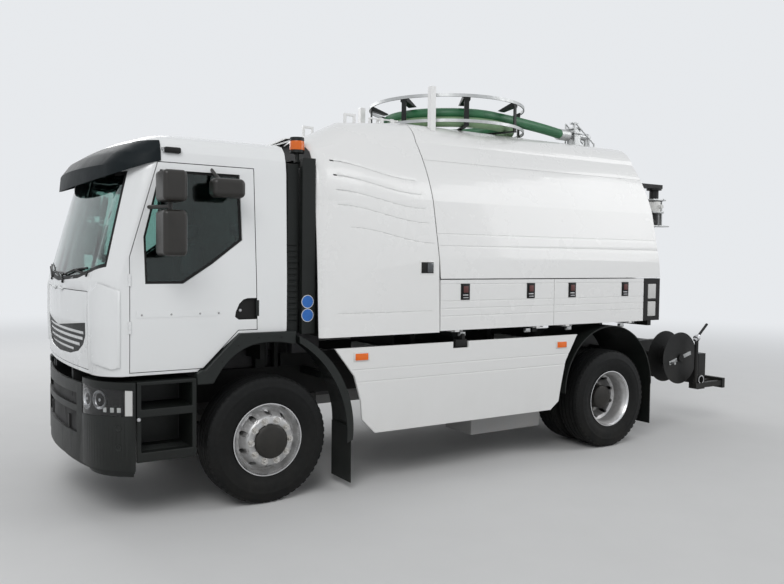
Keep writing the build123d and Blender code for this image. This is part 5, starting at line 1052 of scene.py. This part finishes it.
def fill_out(piece):
    """Blows a cushion up a little by a cloth run under pressure, and makes its surface finer."""
    fine = piece.modifiers.new("even_mesh", "REMESH")
    fine.mode = "VOXEL"
    fine.voxel_size = 0.016
    apply_modifiers(piece)
    before = [vert.co.copy() for vert in piece.data.vertices]
    cloth = piece.modifiers.new("filling", "CLOTH")
    cloth.settings.use_pressure = True
    cloth.settings.uniform_pressure_force = 4.0
    cloth.settings.effector_weights.gravity = 0.0
    for frame_number in range(1, CLOTH_FRAMES + 1):
        bpy.context.scene.frame_set(frame_number)
    apply_modifiers(piece)
    for vert, start in zip(piece.data.vertices, before):
        move = vert.co - start
        if move.length > FILLING_LIMIT:
            vert.co = start + move * (FILLING_LIMIT / move.length)
    bpy.context.scene.frame_set(1)
    smooth = piece.modifiers.new("fine_surface", "SUBSURF")
    smooth.levels = smooth.render_levels = 2
    apply_modifiers(piece)


def press_channels(mesh, middle_y, width):
    """Presses two sewn channels in; each point moves along its normal as its neighbours lie by then."""
    bm = bmesh.new()
    bm.from_mesh(mesh)
    for vert in bm.verts:
        for k in (-1, 1):
            off = (vert.co.y - middle_y) / width * 3.2 - k
            for face in vert.link_faces:
                face.normal_update()
            vert.normal_update()
            vert.co -= vert.normal * CHANNEL_DEPTH * math.exp(-(off * 9.0) ** 2)
    bm.to_mesh(mesh)
    bm.free()


def pad(name, low, high):
    """A cushion filled out by a cloth run, with its sewn channels pressed in afterwards."""
    bm = bmesh.new()
    inset = Vector((0.010, 0.010, 0.010))
    add_block(bm, low + inset, high - inset, 0.034)
    bmesh.ops.subdivide_edges(bm, edges=bm.edges, cuts=2, use_grid_fill=True)
    piece = object_from(bm, name, "seat_cloth", "cab", 180.0)
    fill_out(piece)
    press_channels(piece.data, (low.y + high.y) / 2, high.y - low.y)
    piece.data.update()
    piece.data.shade_smooth()
    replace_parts(piece, "seats")
    return piece


def add_seats():
    """Two seats: padded cushions, backs and head pads on their boxes."""
    for piece in (pad("seat_cushion_right", at(0.075, -0.830, 1.655), at(0.560, -0.370, 1.765)),
                  pad("seat_back_right", at(0.004, -0.825, 1.770), at(0.118, -0.375, 2.150)),
                  pad("head_pad_right", at(0.016, -0.730, 2.175), at(0.106, -0.470, 2.325))):
        twin = bmesh.new()
        twin.from_mesh(piece.data)
        bmesh.ops.translate(twin, verts=twin.verts, vec=(0.0, 2 * SEAT_Y, 0.0))
        name = piece.name.replace("right", "left")
        left = object_from(twin, name, "seat_cloth", "cab", 180.0)
        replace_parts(left, "seats")
    boxes = bmesh.new()
    foot_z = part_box("seats")[0][2]
    for y in (-SEAT_Y, SEAT_Y):
        for side in (-0.05, 0.05):
            add_rod(boxes, at(0.060, y + side, 2.10), at(0.060, y + side, 2.20), 0.007, 12)
        add_block(boxes, at(0.125, y - 0.165, foot_z), at(0.475, y + 0.165, 1.665), 0.01)
    piece = object_from(boxes, "seat_boxes", "interior_grey", "cab")
    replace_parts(piece, "seats")


# Roof and rear fittings

HOSE_RADIUS = 0.0515
LOWER_COIL_Z = 3.4023
UPPER_COIL_Z = 3.4943


def arc_through(first, middle, last):
    """Centre, axis and angle of the arc through three points."""
    a, b, c = Vector(first), Vector(middle), Vector(last)
    normal = (b - a).cross(c - a)
    ab, ac = b - a, c - a
    centre = a + (normal.cross(ab) * ac.length_squared + ac.cross(normal) * ab.length_squared) / (
        2 * normal.length_squared)
    axis = normal.normalized()
    u, v = a - centre, c - centre
    angle = math.atan2(u.cross(v).dot(axis), u.dot(v))
    if angle < 0:
        angle += math.tau
    return centre, axis, angle


def ribbed_arc(bm, start, centre, axis, angle, radius):
    """Sweeps a ribbed round hose along an arc that begins at a point."""
    pitch, sides, rise = 0.017, 14, 0.0035
    start, centre, axis = Vector(start), Vector(centre), Vector(axis).normalized()
    out = start - centre
    out -= axis * out.dot(axis)
    bend = out.length
    full = angle >= math.tau - 1e-6
    steps = 2 * round(bend * angle / pitch)
    along = axis.cross(out).normalized()
    turn = along.to_track_quat("Z", "Y").to_matrix().to_4x4()
    ring = bmesh.ops.create_circle(bm, cap_ends=False, segments=sides, radius=radius,
                                   matrix=Matrix.Translation(start) @ turn)["verts"]
    edges = list({edge for vert in ring for edge in vert.link_edges})
    before = set(bm.verts) - set(ring)
    bmesh.ops.spin(bm, geom=ring + edges, cent=centre, axis=axis, angle=angle, steps=steps, use_merge=full,
                   use_duplicate=False)
    lift = axis * (start - centre).dot(axis)
    first_way = out.normalized()
    for vert in set(bm.verts) - before:
        arm = vert.co - centre - lift
        flat = arm - axis * arm.dot(axis)
        turned = math.atan2(first_way.cross(flat).dot(axis), first_way.dot(flat)) % math.tau
        index = round(turned / angle * steps)
        heart = centre + lift + flat.normalized() * bend
        away = (vert.co - heart).normalized()
        vert.co = heart + away * (radius + (rise if index % 2 else -rise * 0.4))


def add_roof_hose():
    """The roof hose: a paler lower coil, a green upper coil and its tail down to the coupling."""
    middle = at(BASKET_X, 0.0, 0.0)
    lower = at(BASKET_X, 0.690, LOWER_COIL_Z)
    upper = at(BASKET_X, 0.655, UPPER_COIL_Z)
    tail_end = at(-4.002, 0.350, 3.470)
    tail_middle = at(-3.290, 0.545, (UPPER_COIL_Z + tail_end.z) / 2 + 0.004)
    tail_centre, tail_axis, tail_angle = arc_through(upper, tail_middle, tail_end)
    for name, finish, start, centre, axis, angle in (
            ("hose_lower_coil", "hose_pale", lower, middle, (0, 0, 1), math.tau),
            ("hose_upper_coil", "hose_green", upper, middle, (0, 0, 1), math.tau),
            ("hose_tail", "hose_green", upper, tail_centre, tail_axis, tail_angle * 0.965)):
        bm = bmesh.new()
        ribbed_arc(bm, start, centre, axis, angle, HOSE_RADIUS)
        close_up(bm, 0.0001)
        piece = object_from(bm, name, finish, "chassis", 60.0)
        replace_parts(piece, "suction_hose")


def add_rear_valves():
    """Pale valve plates on the rear door's pipes, the lamps that face back and the blank number plate."""
    bm = bmesh.new()
    add_block(bm, at(-5.460, 0.540, 2.752), at(-5.225, 0.700, 2.770), 0.003)
    add_block(bm, at(-5.440, 0.552, 2.600), at(-5.240, 0.690, 2.625), 0.003)
    add_block(bm, at(-5.455, 0.585, 2.448), at(-5.438, 0.655, 2.752), 0.003)
    add_block(bm, at(-5.560, 0.560, 2.436), at(-5.240, 0.680, 2.452), 0.003)
    bolts(bm, [at(-5.29 - 0.13 * i, 0.545 + 0.15 * j, 2.770) for i in (0, 1) for j in (0, 1)], (0, 0, 1))
    object_from(bm, "valve_plates", "steel_zinc", BODY_OF["rear_pipes"])
    lamps = bmesh.new()
    add_block(lamps, at(-5.912, 0.900, 0.740), at(-5.902, 0.980, 0.868), 0.004)
    object_from(lamps, "rear_red_lamp", "lamp_red", "chassis")
    plate = bmesh.new()
    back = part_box("rear_bar")[0][0]
    add_block(plate, (back - 0.004, -0.26, 0.465), (back + 0.006, 0.26, 0.575), 0.002)
    object_from(plate, "rear_plate_blank", "plate_white", "chassis")
    reds = bmesh.new()
    for side, sign in SIDES:
        y = sign * 0.95
        add_block(reds, (back - 0.006, y - 0.12, 0.470), (back + 0.006, y + 0.12, 0.570), 0.004)
    object_from(reds, "rear_bar_lamps", "lamp_red", "chassis")


def add_rear_gear_bits():
    """Bright valve at the lever's foot and a bright ring on the rear bar."""
    bm = bmesh.new()
    foot = at(-5.568, 1.110, 1.095)
    turned_profile(bm, [(0.0, -0.045), (0.022, -0.045), (0.026, -0.02), (0.040, -0.012), (0.040, 0.012),
                        (0.026, 0.02), (0.022, 0.045), (0.0, 0.045)], foot, (0.76, 0, -0.64), 24)
    turned_piece(bm, "lever_valve", "steel_bright", "chassis")
    bm = bmesh.new()
    turned_profile(bm, [(0.041, -0.002), (0.053, -0.002), (0.053, 0.0), (0.041, 0.0), (0.041, -0.002)],
                   at(-5.640, 1.138, 0.590), (0, 1, 0), 32)
    turned_piece(bm, "ring_face", "steel_bright", "chassis")


def add_wheel_arch_bolts():
    """Bolt heads along the front mudguards and the arch mouldings."""
    bm = bmesh.new()
    for side, sign in SIDES:
        for x, z in ((-0.10, 1.360), (0.10, 1.365), (0.27, 1.310), (0.40, 1.190)):
            place, normal = side_touch("arch_trims", x, z, sign)
            bolts(bm, [place], normal, 0.008, 0.003)
    object_from(bm, "arch_bolts", "seal_black", "cab")


def add_fittings():
    """Every small piece outside the cab."""
    add_seals()
    add_wipers()
    add_mirror_glass()
    add_door_fittings()
    add_door_strips()
    add_roof_markers()
    add_headlamp_insides()
    add_bumper_fittings()
    add_locker_latches()
    add_cover_latches()
    add_side_markers()
    add_panel_discs()
    add_tail_lenses()
    add_beacons()
    add_roof_hose()
    add_rear_valves()
    add_rear_gear_bits()
    add_wheel_arch_bolts()


# Camera, light and floor


def make_camera():
    """The camera at the photograph's place."""
    level = math.cos(CAMERA_PITCH)
    forward = Vector((math.cos(CAMERA_YAW) * level, math.sin(CAMERA_YAW) * level, math.sin(CAMERA_PITCH)))
    level_right = forward.cross(Vector((0, 0, 1))).normalized()
    level_up = level_right.cross(forward)
    right = level_right * math.cos(CAMERA_ROLL) + level_up * math.sin(CAMERA_ROLL)
    up = level_up * math.cos(CAMERA_ROLL) - level_right * math.sin(CAMERA_ROLL)
    lens = bpy.data.cameras.new("photo_view")
    lens.sensor_width = SENSOR_WIDTH
    lens.lens = FOCAL_PIXELS / PHOTO_WIDTH * SENSOR_WIDTH
    camera = bpy.data.objects.new("photo_view", lens)
    turn = Matrix((right, up, -forward)).transposed().to_4x4()
    camera.matrix_world = Matrix.Translation(CAMERA_PLACE) @ turn
    bpy.context.scene.collection.objects.link(camera)
    bpy.context.scene.camera = camera


def area_light(name, place, aim, size, power):
    """A soft square lamp that faces a point."""
    lamp = bpy.data.lights.new(name, "AREA")
    lamp.size = size
    lamp.energy = power
    holder = bpy.data.objects.new(name, lamp)
    direction = Vector(aim) - Vector(place)
    turn = direction.to_track_quat("-Z", "Y").to_matrix().to_4x4()
    holder.matrix_world = Matrix.Translation(place) @ turn
    bpy.context.scene.collection.objects.link(holder)


SURROUND = (0.80, 0.82, 0.845, 1.0)


def make_floor():
    """A pale floor that fades into the surround far from the truck."""
    bm = bmesh.new()
    bmesh.ops.create_circle(bm, cap_ends=True, segments=96, radius=240.0)
    mesh = bpy.data.meshes.new("studio_floor")
    bm.to_mesh(mesh)
    bm.free()
    floor = bpy.data.objects.new("studio_floor", mesh)
    bpy.context.scene.collection.objects.link(floor)
    material = bpy.data.materials.new("studio_floor")
    material.use_nodes = True
    tree = material.node_tree
    link = tree.links.new
    shader = tree.nodes["Principled BSDF"]
    shader.inputs["Roughness"].default_value = 0.85
    place = group_node(tree, "ShaderNodeTexCoord")
    noise = group_node(tree, "ShaderNodeTexNoise", in_Scale=2.2, in_Detail=8.0)
    tones = group_node(tree, "ShaderNodeMix", data_type="RGBA")
    tones.inputs["A"].default_value = (0.66, 0.66, 0.655, 1.0)
    tones.inputs["B"].default_value = (0.70, 0.70, 0.695, 1.0)
    link(place.outputs["Object"], noise.inputs["Vector"])
    link(noise.outputs[0], tones.inputs["Factor"])
    link(tones.outputs["Result"], shader.inputs["Base Color"])
    reach = group_node(tree, "ShaderNodeVectorMath", operation="LENGTH")
    fade = group_node(tree, "ShaderNodeMapRange", in_1=3.2, in_2=22.0)
    fade.interpolation_type = "SMOOTHSTEP"
    far = group_node(tree, "ShaderNodeEmission")
    far.inputs["Color"].default_value = SURROUND
    blend = group_node(tree, "ShaderNodeMixShader")
    link(place.outputs["Object"], reach.inputs[0])
    link(reach.outputs["Value"], fade.inputs[0])
    link(fade.outputs[0], blend.inputs[0])
    link(shader.outputs[0], blend.inputs[1])
    link(far.outputs[0], blend.inputs[2])
    link(blend.outputs[0], tree.nodes["Material Output"].inputs["Surface"])
    mesh.materials.append(material)


def make_surround():
    """The pale surround, plain white to the camera, gloss and glass, and softer as a light."""
    world = bpy.data.worlds.new("studio")
    bpy.context.scene.world = world
    world.use_nodes = True
    tree = world.node_tree
    link = tree.links.new
    rays = group_node(tree, "ShaderNodeLightPath")
    seen = group_node(tree, "ShaderNodeMath", operation="MAXIMUM")
    through = group_node(tree, "ShaderNodeMath", operation="MAXIMUM")
    strength = group_node(tree, "ShaderNodeMix", data_type="FLOAT")
    strength.inputs["A"].default_value = 0.52
    strength.inputs["B"].default_value = 1.0
    link(rays.outputs["Is Camera Ray"], seen.inputs[0])
    link(rays.outputs["Is Glossy Ray"], seen.inputs[1])
    link(seen.outputs[0], through.inputs[0])
    link(rays.outputs["Is Transmission Ray"], through.inputs[1])
    link(through.outputs[0], strength.inputs["Factor"])
    background = tree.nodes["Background"]
    link(strength.outputs["Result"], background.inputs["Strength"])
    background.inputs["Color"].default_value = SURROUND


def make_studio():
    """A pale floor, a pale surround and soft lamps."""
    make_floor()
    make_surround()
    area_light("key_light", (9.0, 10.0, 11.0), (0.0, 0.0, 1.5), 7.0, 820.0)
    area_light("rear_light", (-10.0, 7.0, 8.0), (-1.0, 0.0, 1.5), 7.0, 380.0)
    area_light("far_light", (3.0, -11.0, 8.0), (0.0, 0.0, 1.5), 7.0, 420.0)
    bpy.context.scene.view_settings.view_transform = "Standard"


def main():
    """Builds the seats, while the scene is small for their cloth run, then the rest and the studio."""
    add_seats()
    for side, sign in SIDES:
        wheel_set(side, sign)
    dress_cad_nodes()
    add_fittings()
    make_camera()
    make_studio()


main()
